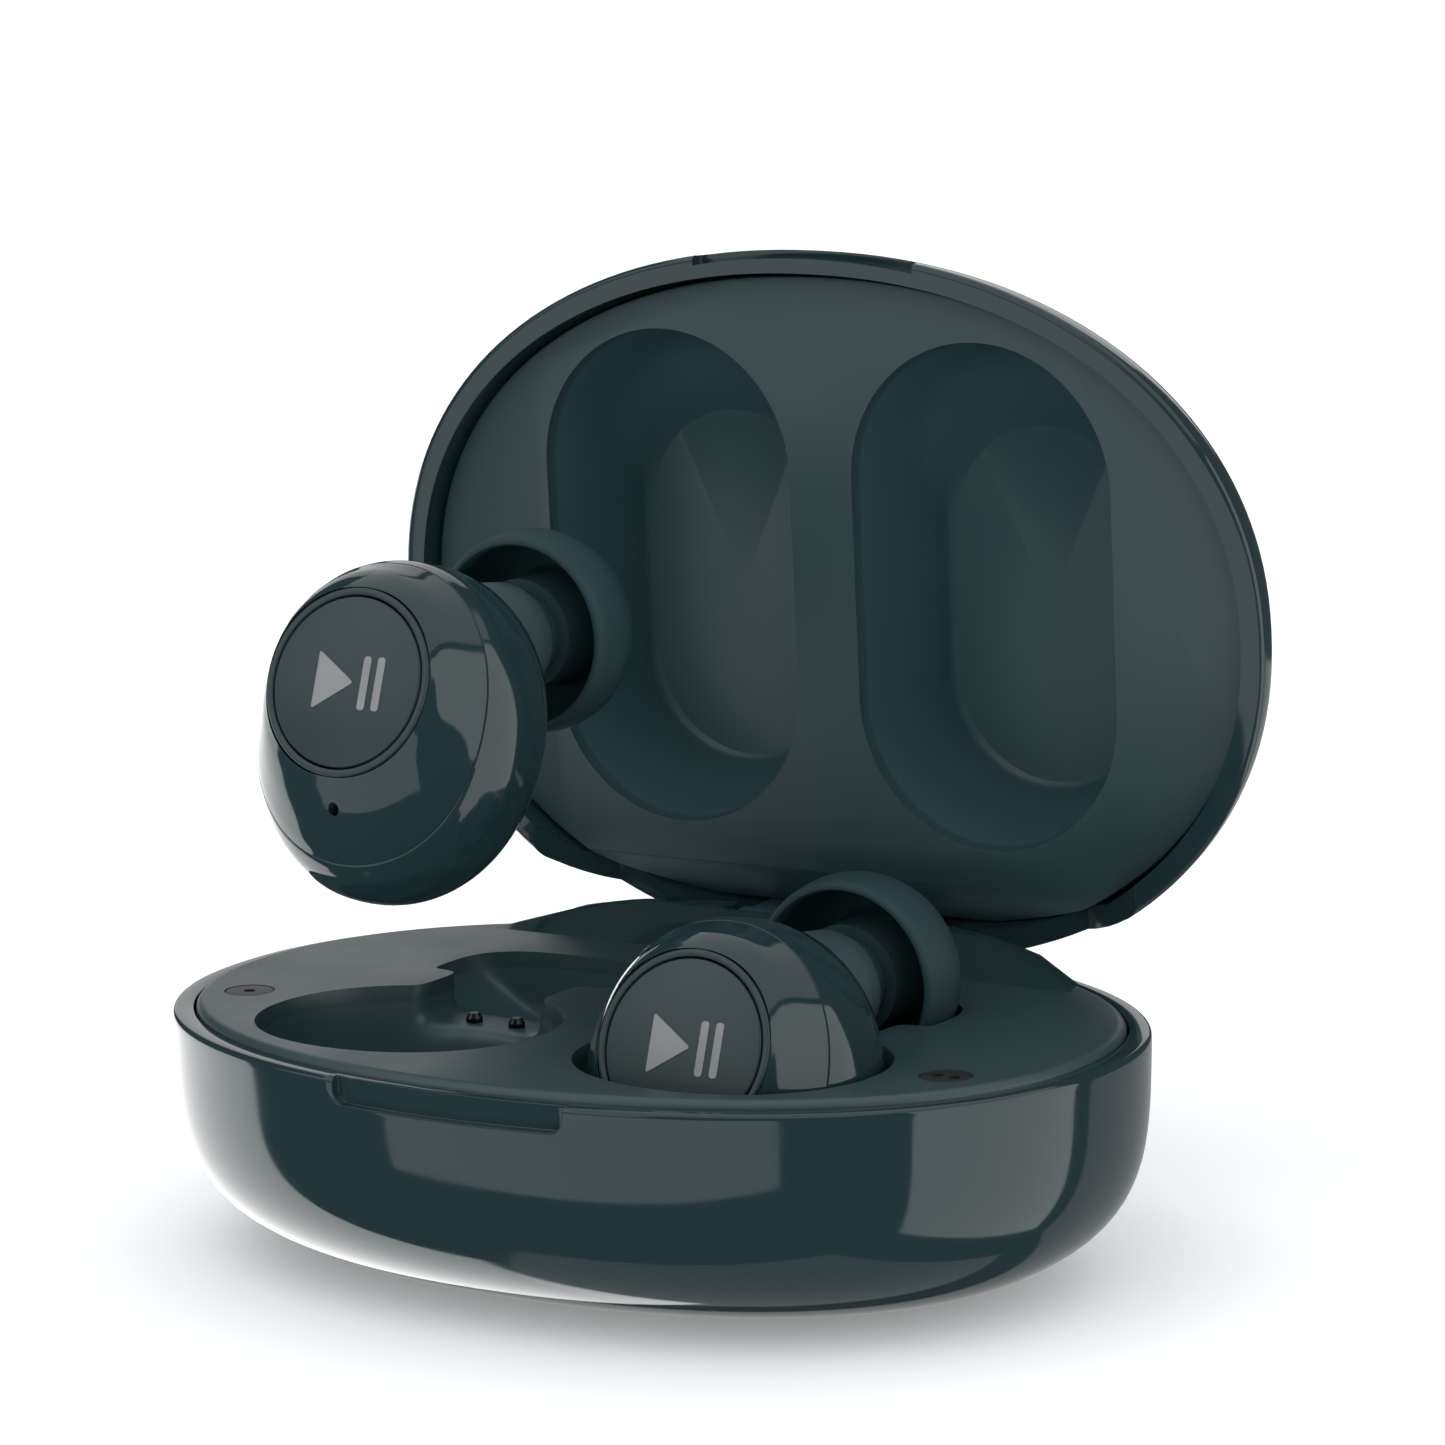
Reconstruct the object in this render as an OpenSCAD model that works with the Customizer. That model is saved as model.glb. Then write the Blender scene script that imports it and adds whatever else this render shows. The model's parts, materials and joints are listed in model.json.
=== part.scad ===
/* [Case] */
// Width of the case, side to side
case_w = 60; // [57:0.5:63]
// Depth of the case, front to back
case_d = 44.8; // [44.4:0.2:46]
// Roundness of the plan outline, where 2 is an ellipse
plan_n = 2.15; // [2.05:0.05:2.4]
// Height of the base, from its flat bottom to the rim
base_h = 14.2; // [14:0.1:15]
// Height of the lid dome above the rim
lid_h = 13.7; // [13.7:0.1:14.5]
// Wall thickness of the base and lid shells
wall = 1.2; // [1:0.1:1.3]
// Width of the glossy rim around the tray
rim_w = 1.3; // [1.2:0.1:1.5]

/* [Tray and lid liner] */
// Height of the tray face above the rim
tray_rise = 0.4; // [0.3:0.1:0.6]
// Depth of the lid liner face behind the lid rim
liner_set = 1.4; // [1.3:0.1:1.6]
// Half-distance between the two bud pockets
bud_x = 10.93; // [10.8:0.01:11.1]
// Corner radius of the tray edge
tray_edge = 0.6; // [0.3:0.1:0.8]

/* [Opening] */
// Angle the lid stands open from closed, degrees
lid_open = 87.3; // [0:0.1:95]
// Height the left bud is lifted above its seat
left_lift = 18.8; // [0:0.2:24]

/* [Buds] */
// Upward tilt of the round face, degrees
face_tilt = 19.8; // [18:0.2:21]
// Radius of the round push face
face_r = 4.93; // [4.7:0.01:4.95]
// Largest radius of the silicone ear tip
tip_r = 6.1; // [5.9:0.05:6.2]
// Bore of the ear tip, which is the nozzle radius
nozzle_r = 2.6; // [2.4:0.05:2.7]

/* [Hidden] */
$fn = 64;

half_w = case_w / 2;
half_d = case_d / 2;
rim_z = base_h;
tray_z = rim_z + tray_rise;
tray_t = 1.0;
fit_gap = 0.3;
seam = 0.1;

// base bottom: inset of the flat, and the curve's two powers
foot_inset = 12.8;
foot_p = 4.2;
// lid dome: [height, inset of the side], drawn for a dome 13.7 high
DOME = [
  [0, 0], [1.5, 0.25], [3, 0.84], [5, 2.12], [7, 3.5], [9, 5],
  [10.7, 6.6], [11.9, 8.5], [12.7, 11], [13.2, 14], [13.5, 18], [13.7, 26]
];
dome_rows_h = 13.7;
// inset of the front and rear, as a share of the side's
dome_flat = 0.75;

// hinge axis across the rear
hinge_y = 20.3;
hinge_z = rim_z + 0.17;
hinge_r = 0.5;
bore_r = 0.55;
barrel_r = 1.6;
barrel_w = 12.2;
slot_w = 12.8;
hinge_w = 22.2;
slot_z = hinge_z - 2;

// thumb notch in the front edge
notch_w = 15.2;
notch_h = 1.5;
notch_d = 0.7;
notch_r = 0.8;

// bud pose in its seat, measured at the middle of the body
bud_y = -9.3;
bud_z = rim_z - 1.35;
face_s = 5.97;
face_v = 1.58;
neck_z = 3.56;
neck_r = 3.4;
tip_y0 = 12.3;
tip_y1 = 17.9;
pin_dx = 1.5;
pin_y = -0.3;
pin_r = 0.5;
pin_top = 12.9;

gloss = "#1c2426";
satin = "#3a4346";
rubber = "#20282a";
metal = "#a9adb0";
gold = "#c8a24a";
green = "#1f5a3a";
foil = "#8f9497";
black = "#15191a";

/* ---- shape helpers ---- */

// points of a rounded outline with half-axes a and b
function outline(a, b, n, count) = [
  for (i = [0 : count - 1])
    let (t = 360 * i / count, c = cos(t), s = sin(t))
    [a * sign(c) * pow(abs(c), 2 / n), b * sign(s) * pow(abs(s), 2 / n)]
];

// points of a stadium, long along y
function stadium(r, h, count) = [
  for (i = [0 : count - 1])
    let (t = 360 * (i + 0.5) / count)
    [r * cos(t), r * sin(t) + h * sign(sin(t))]
];

// lift a flat outline to height z, moved by dy
function ring(pts, z, dy = 0) = [for (p = pts) [p[0], p[1] + dy, z]];

// closed solid through a list of rings with equal point counts
module loft(rings) {
  m = len(rings[0]);
  k = len(rings);
  pts = [for (r = rings) each r];
  sides = [
    for (j = [0 : k - 2], i = [0 : m - 1])
      let (a = j * m + i, b = j * m + (i + 1) % m)
      each [[a, a + m, b + m], [a, b + m, b]]
  ];
  bottom = [[for (i = [0 : m - 1]) i]];
  top = [[for (i = [0 : m - 1]) (k - 1) * m + m - 1 - i]];
  polyhedron(points = pts, faces = concat(bottom, sides, top));
}

// plan outline of the case, drawn in by d
function plan(d, count = 64) = outline(half_w - d, half_d - d, plan_n, count);

// inset of the base skin at height z above its flat bottom
function base_inset(z) =
  let (u = 1 - z / base_h)
  foot_inset * (1 - sqrt(max(0, 1 - pow(u, foot_p)))) + 0.3 * u;

// outline of the dome at height z above the rim, for a skin drawn in by d
function dome(z, d, count = 64) =
  let (f = lookup(z * dome_rows_h / (lid_h - d), DOME))
  outline(half_w - d - f, half_d - d - dome_flat * f, plan_n, count);

module at_lid() {
  translate([0, hinge_y, hinge_z])
    rotate([-lid_open, 0, 0])
      translate([0, -hinge_y, -hinge_z])
        children();
}

module at_bud(side) {
  lift = side < 0 ? left_lift : 0;
  translate([side * bud_x, bud_y, bud_z + lift])
    children();
}

// the tilted frame of the round face: z along the face axis, y up the face
module at_face() {
  rotate([90 - face_tilt, 0, 0])
    children();
}

// the level frame of the nozzle: z runs back along the ear canal
module at_nozzle() {
  translate([0, 0, neck_z])
    rotate([-90, 0, 0])
      children();
}

module both_sides() {
  for (side = [-1, 1])
    translate([side * bud_x, 0, 0])
      children();
}

module block(x0, x1, y0, y1, z0, z1) {
  translate([x0, y0, z0])
    cube([x1 - x0, y1 - y0, z1 - z0]);
}

/* ---- base ---- */

// shallow thumb recess; the rim edge lies at z = 0 and the recess hangs below
module thumb_notch(height) {
  difference() {
    translate([0, -half_d + 6, 0])
      rotate([90, 0, 0])
        linear_extrude(10)
          union() {
            square([notch_w, 2 * (height - notch_r)], center = true);
            square([notch_w - 2 * notch_r, 2 * height], center = true);
            for (x = [-1, 1])
              translate([x * (notch_w / 2 - notch_r), notch_r - height])
                circle(notch_r);
          }
    translate([0, -half_d + notch_d + 45, -5])
      cylinder(r = 45, h = 10, $fn = 180);
  }
}

module base_body() {
  floor_z = wall;
  outer = [0, 0.25, 0.6, 1.1, 1.8, 2.8, 4.2, 6.2, 9, 12];
  inner = [9, 6.2, 4.2, 2.8, 2, 1.5];
  loft(concat(
    [for (z = outer) ring(plan(base_inset(z)), z)],
    [
      ring(plan(0.02), rim_z - 0.5),
      ring(plan(0.12), rim_z - 0.15),
      ring(plan(0.35), rim_z),
      ring(plan(rim_w), rim_z),
      ring(plan(rim_w), rim_z - 1.6)
    ],
    [for (z = inner) ring(plan(base_inset(z) + wall), z)],
    [ring(plan(base_inset(0.9) + wall + 0.6), floor_z)]
  ));
}

module usb_outline(grow) {
  hull()
    for (x = [-1, 1])
      translate([x * 2.95, 0])
        circle(r = 1.6 + grow, $fn = 32);
}

module usb_place() {
  translate([0, 0, 6])
    rotate([-90, 0, 0])
      children();
}

module base_shell() {
  color(gloss)
    difference() {
      base_body();
      translate([0, 0, rim_z])
        thumb_notch(notch_h);
      block(-hinge_w / 2 - 0.1, hinge_w / 2 + 0.1, 17.5, 25, slot_z + 0.1, rim_z + 1);
      usb_place()
        translate([0, 0, 14])
          linear_extrude(10)
            usb_outline(0.15);
    }
}

// the hollow that the bud body drops into: [height from rim, front, rear, half-width]
BOWL = [
  [1.6, -17.9, -0.5, 9.7],
  [0.6, -17.5, -0.9, 9.3],
  [0.2, -17.2, -1.2, 9.05],
  [-1.2, -17.0, -1.6, 8.97],
  [-4, -16.9, -2.0, 8.9],
  [-7, -16.5, -2.6, 8.45],
  [-9.5, -15.5, -4.3, 7],
  [-11.2, -14, -6.6, 4.5],
  [-11.9, -12.6, -8.2, 2.4]
];

module bowl(grow, first) {
  loft([
    for (i = [len(BOWL) - 1 : -1 : first])
      let (b = BOWL[i], ry = (b[2] - b[1]) / 2)
      ring(outline(b[3] + grow, ry + grow, 2.1, 40),
           rim_z + b[0] - (i == len(BOWL) - 1 ? grow : 0), (b[1] + b[2]) / 2)
  ]);
}

// trough for the ear tip behind the bowl, and the passage for the neck
module tip_trough(grow) {
  r = tip_r + 0.45 + grow;
  intersection() {
    translate([0, 2.3 - grow, bud_z + neck_z])
      rotate([-90, 0, 0])
        cylinder(r = r, h = 12);
    translate([0, 3.4, 0])
      linear_extrude(40)
        polygon(outline(6.4 + grow, 5.7 + grow, 3, 48));
  }
  neck = 4.2 + grow;
  floor_z = 12.35 - grow;
  block(-neck, neck, -4, 3, floor_z, tray_z + (grow > 0 ? -tray_t : 1));
}

module tray_plate() {
  edge = rim_w + fit_gap;
  r = tray_edge;
  loft([
    ring(plan(edge), tray_z - 1.9),
    ring(plan(edge), tray_z - r),
    ring(plan(edge + 0.13 * r), tray_z - 0.5 * r),
    ring(plan(edge + 0.5 * r), tray_z - 0.13 * r),
    ring(plan(edge + r), tray_z)
  ]);
}

module tray() {
  skin = 0.7;
  color(satin)
    difference() {
      union() {
        difference() {
          tray_plate();
          translate([0, 0, tray_z - 3])
            linear_extrude(3 - tray_t)
              polygon(plan(rim_w + fit_gap + 0.9));
        }
        both_sides()
          intersection() {
            union() {
              bowl(skin, 2);
              tip_trough(skin);
            }
            block(-12, 12, -30, 30, 0, tray_z - 0.5);
          }
      }
      both_sides() {
        bowl(0, 0);
        tip_trough(0);
        for (dx = [-pin_dx, pin_dx])
          translate([dx, pin_y, 9])
            cylinder(r = pin_r + 0.06, h = 4);
      }
      block(-hinge_w / 2 - 0.15, hinge_w / 2 + 0.15, 18, 25, 10, 20);
      for (x = [-1, 1])
        translate([x * 23.6, -7.5, tray_z - 0.4])
          cylinder(r = 1.5, h = 2);
    }
}

// low mound that covers the hinge, from the tray to the rear edge
module mound(grow) {
  hull() {
    translate([0, 0, tray_z - grow])
      linear_extrude(0.05)
        polygon([
          [-20.2, 13.6], [-14, 15.1], [0, 15.8], [14, 15.1], [20.2, 13.6],
          [19.6, 15.8], [15.6, 19.1], [8.5, 21.3], [0, 22.1],
          [-8.5, 21.3], [-15.6, 19.1], [-19.6, 15.8]
        ]);
    translate([0, 0, rim_z + 1.45])
      linear_extrude(0.05)
        polygon([
          [-16, 17], [0, 17.5], [16, 17], [16, 17.8],
          [8.5, 20.8], [0, 21.6], [-8.5, 20.8], [-16, 17.8]
        ]);
    translate([0, 0, rim_z + 2])
      linear_extrude(0.05)
        polygon([
          [-12, 18.2], [0, 18.7], [12, 18.2], [12.6, 18.7],
          [8, 20.4], [0, 21.2], [-8, 20.4], [-12.6, 18.7]
        ]);
  }
}

module hinge_cover() {
  color(gloss)
    difference() {
      union() {
        mound(0);
        intersection() {
          translate([0, 0, slot_z + 0.2])
            linear_extrude(tray_z + 0.1 - slot_z)
              polygon(plan(0.06, 96));
          block(-hinge_w / 2, hinge_w / 2, 18.15, 25, 0, 30);
        }
      }
      block(-slot_w / 2, slot_w / 2, 18.3, 25, 5, 30);
      translate([-20, hinge_y, hinge_z])
        rotate([0, 90, 0])
          cylinder(r = bore_r, h = 40);
    }
}

module hinge_pin() {
  color(metal)
    translate([-10.4, hinge_y, hinge_z])
      rotate([0, 90, 0])
        cylinder(r = hinge_r, h = 20.8);
}

// round seat marks: one dot on the left, two on the right
module seat_mark(side, dots) {
  color(black)
    translate([side * 23.6, -7.5, tray_z - 0.38])
      difference() {
        cylinder(r = 1.45, h = 0.36);
        for (i = [1 : dots])
          translate([(i - (dots + 1) / 2) * 1.1, 0, 0.2])
            cylinder(r = 0.36, h = 1);
      }
}

module mark_left() { seat_mark(-1, 1); }
module mark_right() { seat_mark(1, 2); }

module main_board() {
  color(green)
    block(-14.5, 14.5, 9.2, 14.8, 3.4, 4.2);
}

module case_battery() {
  color(foil)
    block(-19, 19, 0.8, 8.4, 3.0, 8.6);
}

module usb_port() {
  color(metal)
    usb_place()
      translate([0, 0, 14])
        difference() {
          linear_extrude(7.2)
            usb_outline(0);
          translate([0, 0, 1])
            linear_extrude(10)
              usb_outline(-0.25);
        }
}

module usb_tongue() {
  color(black)
    block(-3.3, 3.3, 15, 20.4, 5.65, 6.35);
}

module pin_block(side) {
  color(black)
    translate([side * bud_x, 0, 0])
      difference() {
        block(-3.2, 3.2, -1.15, 0.9, 8.7, 10.95);
        for (dx = [-pin_dx, pin_dx])
          translate([dx, pin_y, 9.1])
            cylinder(r = pin_r + 0.06, h = 4);
      }
}

module pin_block_left() { pin_block(-1); }
module pin_block_right() { pin_block(1); }

module pogo_pin(side, dx) {
  color(gold)
    translate([side * bud_x + dx, pin_y, 0]) {
      translate([0, 0, 9.6])
        cylinder(r = pin_r, h = pin_top - 9.6 - 0.3);
      translate([0, 0, pin_top - 0.3])
        cylinder(r1 = pin_r, r2 = 0.3, h = 0.3);
    }
}

module pin_left_a() { pogo_pin(-1, -pin_dx); }
module pin_left_b() { pogo_pin(-1, pin_dx); }
module pin_right_a() { pogo_pin(1, -pin_dx); }
module pin_right_b() { pogo_pin(1, pin_dx); }

module seat_magnet(side) {
  color(metal)
    translate([side * 23, -5, 11])
      cube([2, 6, 3], center = true);
}

module seat_magnet_left() { seat_magnet(-1); }
module seat_magnet_right() { seat_magnet(1); }

module latch_magnet_base() {
  color(metal)
    block(-3, 3, -19.6, -17.8, 9.6, 12.4);
}

module hall_sensor() {
  color(black)
    block(-1.5, 1.5, 10, 12, 4.22, 5.1);
}

/* ---- lid, drawn closed and turned open by at_lid ---- */

module lid_shell() {
  color(gloss)
    at_lid()
      difference() {
        lid_shell_skin();
        translate([0, 0, rim_z + seam])
          mirror([0, 0, 1])
            thumb_notch(1.2);
        translate([0, 26, rim_z])
          rotate([90, 0, 0])
            linear_extrude(12)
              polygon([[-21.4, -1], [-21.4, 0.05], [-19.6, 1.1], [-16.6, 2.8],
                       [16.6, 2.8], [19.6, 1.1], [21.4, 0.05], [21.4, -1]]);
      }
}

module lid_shell_skin() {
  difference() {
    lid_outer();
    lid_inner();
  }
}

module lid_outer() {
  levels = [0.6, 1.5, 3, 5, 7, 9, 10.7, 11.9, 12.7, 13.2, 13.5, 13.7];
  k = lid_h / dome_rows_h;
  translate([0, 0, rim_z + seam])
    loft(concat(
      [ring(plan(0.35), 0), ring(plan(0.12), 0.15)],
      [for (z = levels) ring(dome(z * k, 0), z * k)]
    ));
}

module lid_inner() {
  levels = [2.7, 4, 5.5, 7, 8.6, 10, 11, 11.8, 12.3];
  k = (lid_h - wall) / 12.5;
  translate([0, 0, rim_z + seam])
    loft(concat(
      [ring(plan(rim_w + 0.1), -1), ring(plan(rim_w + 0.1), 1.6)],
      [for (z = levels) ring(dome(z * k, wall), z * k)]
    ));
}

// lid pocket: [height from rim, end radius, front end, rear end]
POCKET = [
  [0.6, 9, -17.3, 14.1],
  [1.4, 8.78, -17.05, 13.9],
  [2.2, 8.65, -16.9, 13.75],
  [6.4, 7.65, -15.6, 12.7],
  [8.6, 7.1, -12.7, 12.15],
  [9.6, 6.85, -11.2, 11.9],
  [10, 6.45, -10.6, 11.5]
];

module lid_pocket(grow, first) {
  last = len(POCKET) - 1;
  translate([0, 0, rim_z])
    loft([
      for (i = [first : last])
        let (p = POCKET[i])
        ring(stadium(p[1] + grow, (p[3] - p[2]) / 2 - p[1], 40),
             p[0] + (i == last ? grow : 0), (p[2] + p[3]) / 2)
    ]);
}

module lid_liner() {
  t = 0.8;
  z0 = rim_z + liner_set;
  color(satin)
    at_lid()
      difference() {
        union() {
          intersection() {
            translate([0, 0, rim_z])
              loft([
                ring(plan(rim_w + 0.45, 72), 0), ring(plan(rim_w + 0.45, 72), 2.2),
                ring(dome(3.4, wall + 0.2, 72), 3.4), ring(dome(5, wall + 0.2, 72), 5)
              ]);
            rotate([90, 0, 90])
              translate([0, 0, -30])
                linear_extrude(60)
                  polygon([
                    [-25, z0], [16.3, z0], [18.9, z0 + 2.1],
                    [18.9, z0 + 2.9], [16, z0 + t], [-25, z0 + t]
                  ]);
          }
          both_sides()
            lid_pocket(0.6, 2);
        }
        both_sides()
          lid_pocket(0, 0);
      }
}

module lid_hinge_arm() {
  color(satin)
    at_lid()
      difference() {
        union() {
          translate([-barrel_w / 2, hinge_y, hinge_z])
            rotate([0, 90, 0])
              cylinder(r = barrel_r, h = barrel_w);
          block(-barrel_w / 2, barrel_w / 2, hinge_y - 1.3, hinge_y - 0.7,
                hinge_z, rim_z + 3.8);
        }
        translate([-barrel_w, hinge_y, hinge_z])
          rotate([0, 90, 0])
            cylinder(r = bore_r, h = 2 * barrel_w);
      }
}

module latch_magnet_lid() {
  color(metal)
    at_lid()
      block(-3, 3, -19.2, -17.4, rim_z + liner_set + 0.85, rim_z + liner_set + 2.6);
}

module hall_magnet() {
  color(metal)
    at_lid()
      block(-1, 1, 10, 13, rim_z + liner_set + 0.85, rim_z + liner_set + 2);
}

/* ---- buds: [place along the face axis, half-width, half-height, rise] ---- */

FRONT = [
  [3.2, 7.75, 8.75, 0.28],
  [3.8, 7.3, 8.25, 0.48],
  [4.8, 6.5, 7.3, 0.93],
  [5.5, 5.95, 6.35, 1.3],
  [5.85, 5.62, 5.74, 1.52],
  [5.97, 5.5, 5.5, 1.58]
];
REAR = [
  [3.1, 7.82, 8.84, 0.25],
  [2.2, 8.22, 9.4, 0],
  [1.2, 8.5, 9.75, -0.18],
  [0.2, 8.6, 9.9, -0.25],
  [-1.4, 8.5, 9.8, -0.25],
  [-3, 8.0, 9.2, -0.15],
  [-4.4, 7.0, 8.0, 0.1],
  [-5.5, 5.5, 6.4, 0.3],
  [-6.1, 4, 4.8, 0.4],
  [-6.3, 2.4, 3, 0.5]
];

function face_rings(rows, grow, end_grow) = [
  for (i = [0 : len(rows) - 1])
    let (r = rows[i], last = i == len(rows) - 1)
    ring(outline(r[1] + grow, r[2] + grow, 2.1, 40),
         r[0] + (last ? end_grow : 0), r[3])
];

// inner outline carried past a shell's open end, so that the cut is clean
function open_end(row, t, run) =
  ring(outline(row[1] - t, row[2] - t, 2.1, 40), row[0] + run, row[3]);

function flip(rings) = [for (i = [len(rings) - 1 : -1 : 0]) rings[i]];

module mic_hole() {
  translate([0, -5.6, 0])
    cylinder(r = 0.35, h = 10);
}

module front_shell(side) {
  t = 0.9;
  color(gloss)
    at_bud(side)
      at_face()
        difference() {
          loft(face_rings(FRONT, 0, 0));
          loft(concat(
            [open_end(FRONT[0], t, -1)],
            face_rings([for (i = [0 : len(FRONT) - 2]) FRONT[i]], -t, -0.7)
          ));
          translate([0, face_v, 0])
            cylinder(r = 5.5, h = 10);
          mic_hole();
        }
}

module bezel_ring(side) {
  color(satin)
    at_bud(side)
      at_face()
        translate([0, face_v, face_s - 0.9])
          difference() {
            cylinder(r = 5.46, h = 1);
            translate([0, 0, -1])
              cylinder(r = face_r + 0.1, h = 3);
          }
}

module button(side) {
  color(satin)
    at_bud(side)
      at_face()
        translate([0, face_v, face_s - 0.75]) {
          cylinder(r = face_r, h = 0.85);
          translate([0, 0, -0.5])
            cylinder(r = 0.8, h = 0.6);
        }
}

// generic play and pause sign
module button_mark(side) {
  color(foil)
    at_bud(side)
      at_face()
        translate([0, face_v, face_s + 0.1])
          linear_extrude(0.05) {
            polygon([[-2.1, -1.7], [-2.1, 1.7], [0.5, 0]]);
            for (x = [1.0, 1.95])
              translate([x, -1.55])
                square([0.5, 3.1]);
          }
}

module rear_shell(side) {
  t = 0.9;
  color(gloss)
    at_bud(side)
      difference() {
        union() {
          at_face()
            loft(flip(face_rings(REAR, 0, 0)));
          at_nozzle() {
            translate([0, 0, 4])
              cylinder(r = neck_r, h = 7.2);
            translate([0, 0, 11])
              cylinder(r = nozzle_r, h = 5.4);
          }
        }
        at_face()
          loft(flip(concat(
            [open_end(REAR[0], t, 1)],
            face_rings([for (i = [0 : len(REAR) - 2]) REAR[i]], -t, 0.3)
          )));
        at_nozzle()
          translate([0, 0, 2])
            cylinder(r = nozzle_r - 0.7, h = 20);
        for (dx = [-pin_dx, pin_dx])
          translate([dx, pin_y - bud_y, -1])
            cylinder(r = 0.81, h = 2);
      }
}

module ear_tip(side) {
  r = tip_r;
  y0 = tip_y0;
  y1 = tip_y1;
  bore = nozzle_r + 0.02;
  color(rubber)
    at_bud(side)
      at_nozzle()
        rotate_extrude()
          polygon([
            [bore, y0 + 0.6], [bore, y1 - 1.2], [1.9, y1 - 1.0], [1.9, y1],
            [3.2, y1 - 0.05], [4.4, y1 - 0.4], [5.3, y1 - 1.05],
            [r - 0.3, y1 - 1.9], [r - 0.05, y1 - 2.8], [r, y1 - 3.7],
            [r - 0.15, y0 + 0.5], [r - 0.4, y0], [r - 0.75, y0 + 0.05],
            [r - 0.7, y0 + 1.6], [r - 0.75, y1 - 2.8], [r - 1.2, y1 - 2],
            [4.5, y1 - 1.35], [3.7, y1 - 1.1], [3.35, y1 - 1.4],
            [3.3, y0 + 0.6]
          ]);
}

module nozzle_mesh(side) {
  color(foil)
    at_bud(side)
      at_nozzle()
        translate([0, 0, 16.42])
          cylinder(r = nozzle_r - 0.05, h = 0.2);
}

module charge_pads(side) {
  color(gold)
    at_bud(side)
      for (dx = [-pin_dx, pin_dx])
        translate([dx, pin_y - bud_y, pin_top + 0.03 - bud_z])
          cylinder(r = 0.8, h = 0.75);
}

module bud_battery(side) {
  color(foil)
    at_bud(side)
      at_face()
        translate([0, -3.2, -3])
          cylinder(r = 3.9, h = 3.6);
}

module bud_board(side) {
  color(green)
    at_bud(side)
      at_face()
        translate([0, -0.2, 2.2])
          cylinder(r = 6.4, h = 0.6);
}

module driver(side) {
  color(black)
    at_bud(side)
      at_nozzle()
        translate([0, 0, 1.2])
          cylinder(r = 2.9, h = 2.4);
}

module switch(side) {
  color(metal)
    at_bud(side)
      at_face()
        translate([-1.3, face_v - 1.3, 2.82])
          cube([2.6, 2.6, 1.5]);
}

module microphone(side) {
  color(black)
    at_bud(side)
      at_face()
        translate([-1.1, -6.6, 2.82])
          cube([2.2, 1.3, 0.9]);
}

module bud_magnet(side) {
  color(metal)
    at_bud(side)
      at_face()
        translate([4.6, -1.5, -2.4])
          cube([1.2, 3, 3]);
}

module left_front_shell() { front_shell(-1); }
module left_bezel_ring() { bezel_ring(-1); }
module left_button() { button(-1); }
module left_button_mark() { button_mark(-1); }
module left_rear_shell() { rear_shell(-1); }
module left_ear_tip() { ear_tip(-1); }
module left_nozzle_mesh() { nozzle_mesh(-1); }
module left_charge_pads() { charge_pads(-1); }
module left_battery() { bud_battery(-1); }
module left_board() { bud_board(-1); }
module left_driver() { driver(-1); }
module left_switch() { switch(-1); }
module left_microphone() { microphone(-1); }
module left_magnet() { bud_magnet(-1); }

module right_front_shell() { front_shell(1); }
module right_bezel_ring() { bezel_ring(1); }
module right_button() { button(1); }
module right_button_mark() { button_mark(1); }
module right_rear_shell() { rear_shell(1); }
module right_ear_tip() { ear_tip(1); }
module right_nozzle_mesh() { nozzle_mesh(1); }
module right_charge_pads() { charge_pads(1); }
module right_battery() { bud_battery(1); }
module right_board() { bud_board(1); }
module right_driver() { driver(1); }
module right_switch() { switch(1); }
module right_microphone() { microphone(1); }
module right_magnet() { bud_magnet(1); }

base_shell();
tray();
hinge_cover();
hinge_pin();
mark_left();
mark_right();
main_board();
case_battery();
usb_port();
usb_tongue();
pin_block_left();
pin_block_right();
seat_magnet_left();
seat_magnet_right();
latch_magnet_base();
hall_sensor();
pin_left_a();
pin_left_b();
pin_right_a();
pin_right_b();
lid_shell();
lid_liner();
lid_hinge_arm();
latch_magnet_lid();
hall_magnet();
left_front_shell();
left_bezel_ring();
left_button();
left_button_mark();
left_rear_shell();
left_ear_tip();
left_nozzle_mesh();
left_charge_pads();
left_battery();
left_board();
left_driver();
left_switch();
left_microphone();
left_magnet();
right_front_shell();
right_bezel_ring();
right_button();
right_button_mark();
right_rear_shell();
right_ear_tip();
right_nozzle_mesh();
right_charge_pads();
right_battery();
right_board();
right_driver();
right_switch();
right_microphone();
right_magnet();
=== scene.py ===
"""Looks for an oval earbuds charging case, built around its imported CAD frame."""

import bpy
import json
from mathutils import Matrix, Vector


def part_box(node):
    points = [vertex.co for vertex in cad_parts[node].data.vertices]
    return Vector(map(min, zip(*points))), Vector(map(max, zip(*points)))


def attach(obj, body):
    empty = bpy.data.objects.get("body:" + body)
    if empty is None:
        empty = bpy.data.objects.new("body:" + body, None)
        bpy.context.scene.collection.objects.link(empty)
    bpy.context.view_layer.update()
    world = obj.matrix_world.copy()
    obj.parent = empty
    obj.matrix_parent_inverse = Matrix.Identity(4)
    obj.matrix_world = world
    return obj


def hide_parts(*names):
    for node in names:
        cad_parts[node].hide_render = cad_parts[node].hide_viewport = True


bl_info = {
    "name": "Earbuds Case",
    "version": (1, 0, 0),
    "blender": (4, 5, 0),
    "location": "View3D > Sidebar > Earbuds Case",
    "description": "Builds the finished surfaces of an oval earbuds charging case",
    "category": "Object",
}

import json
import math

import bmesh
import bpy
from mathutils import Matrix, Vector

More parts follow.
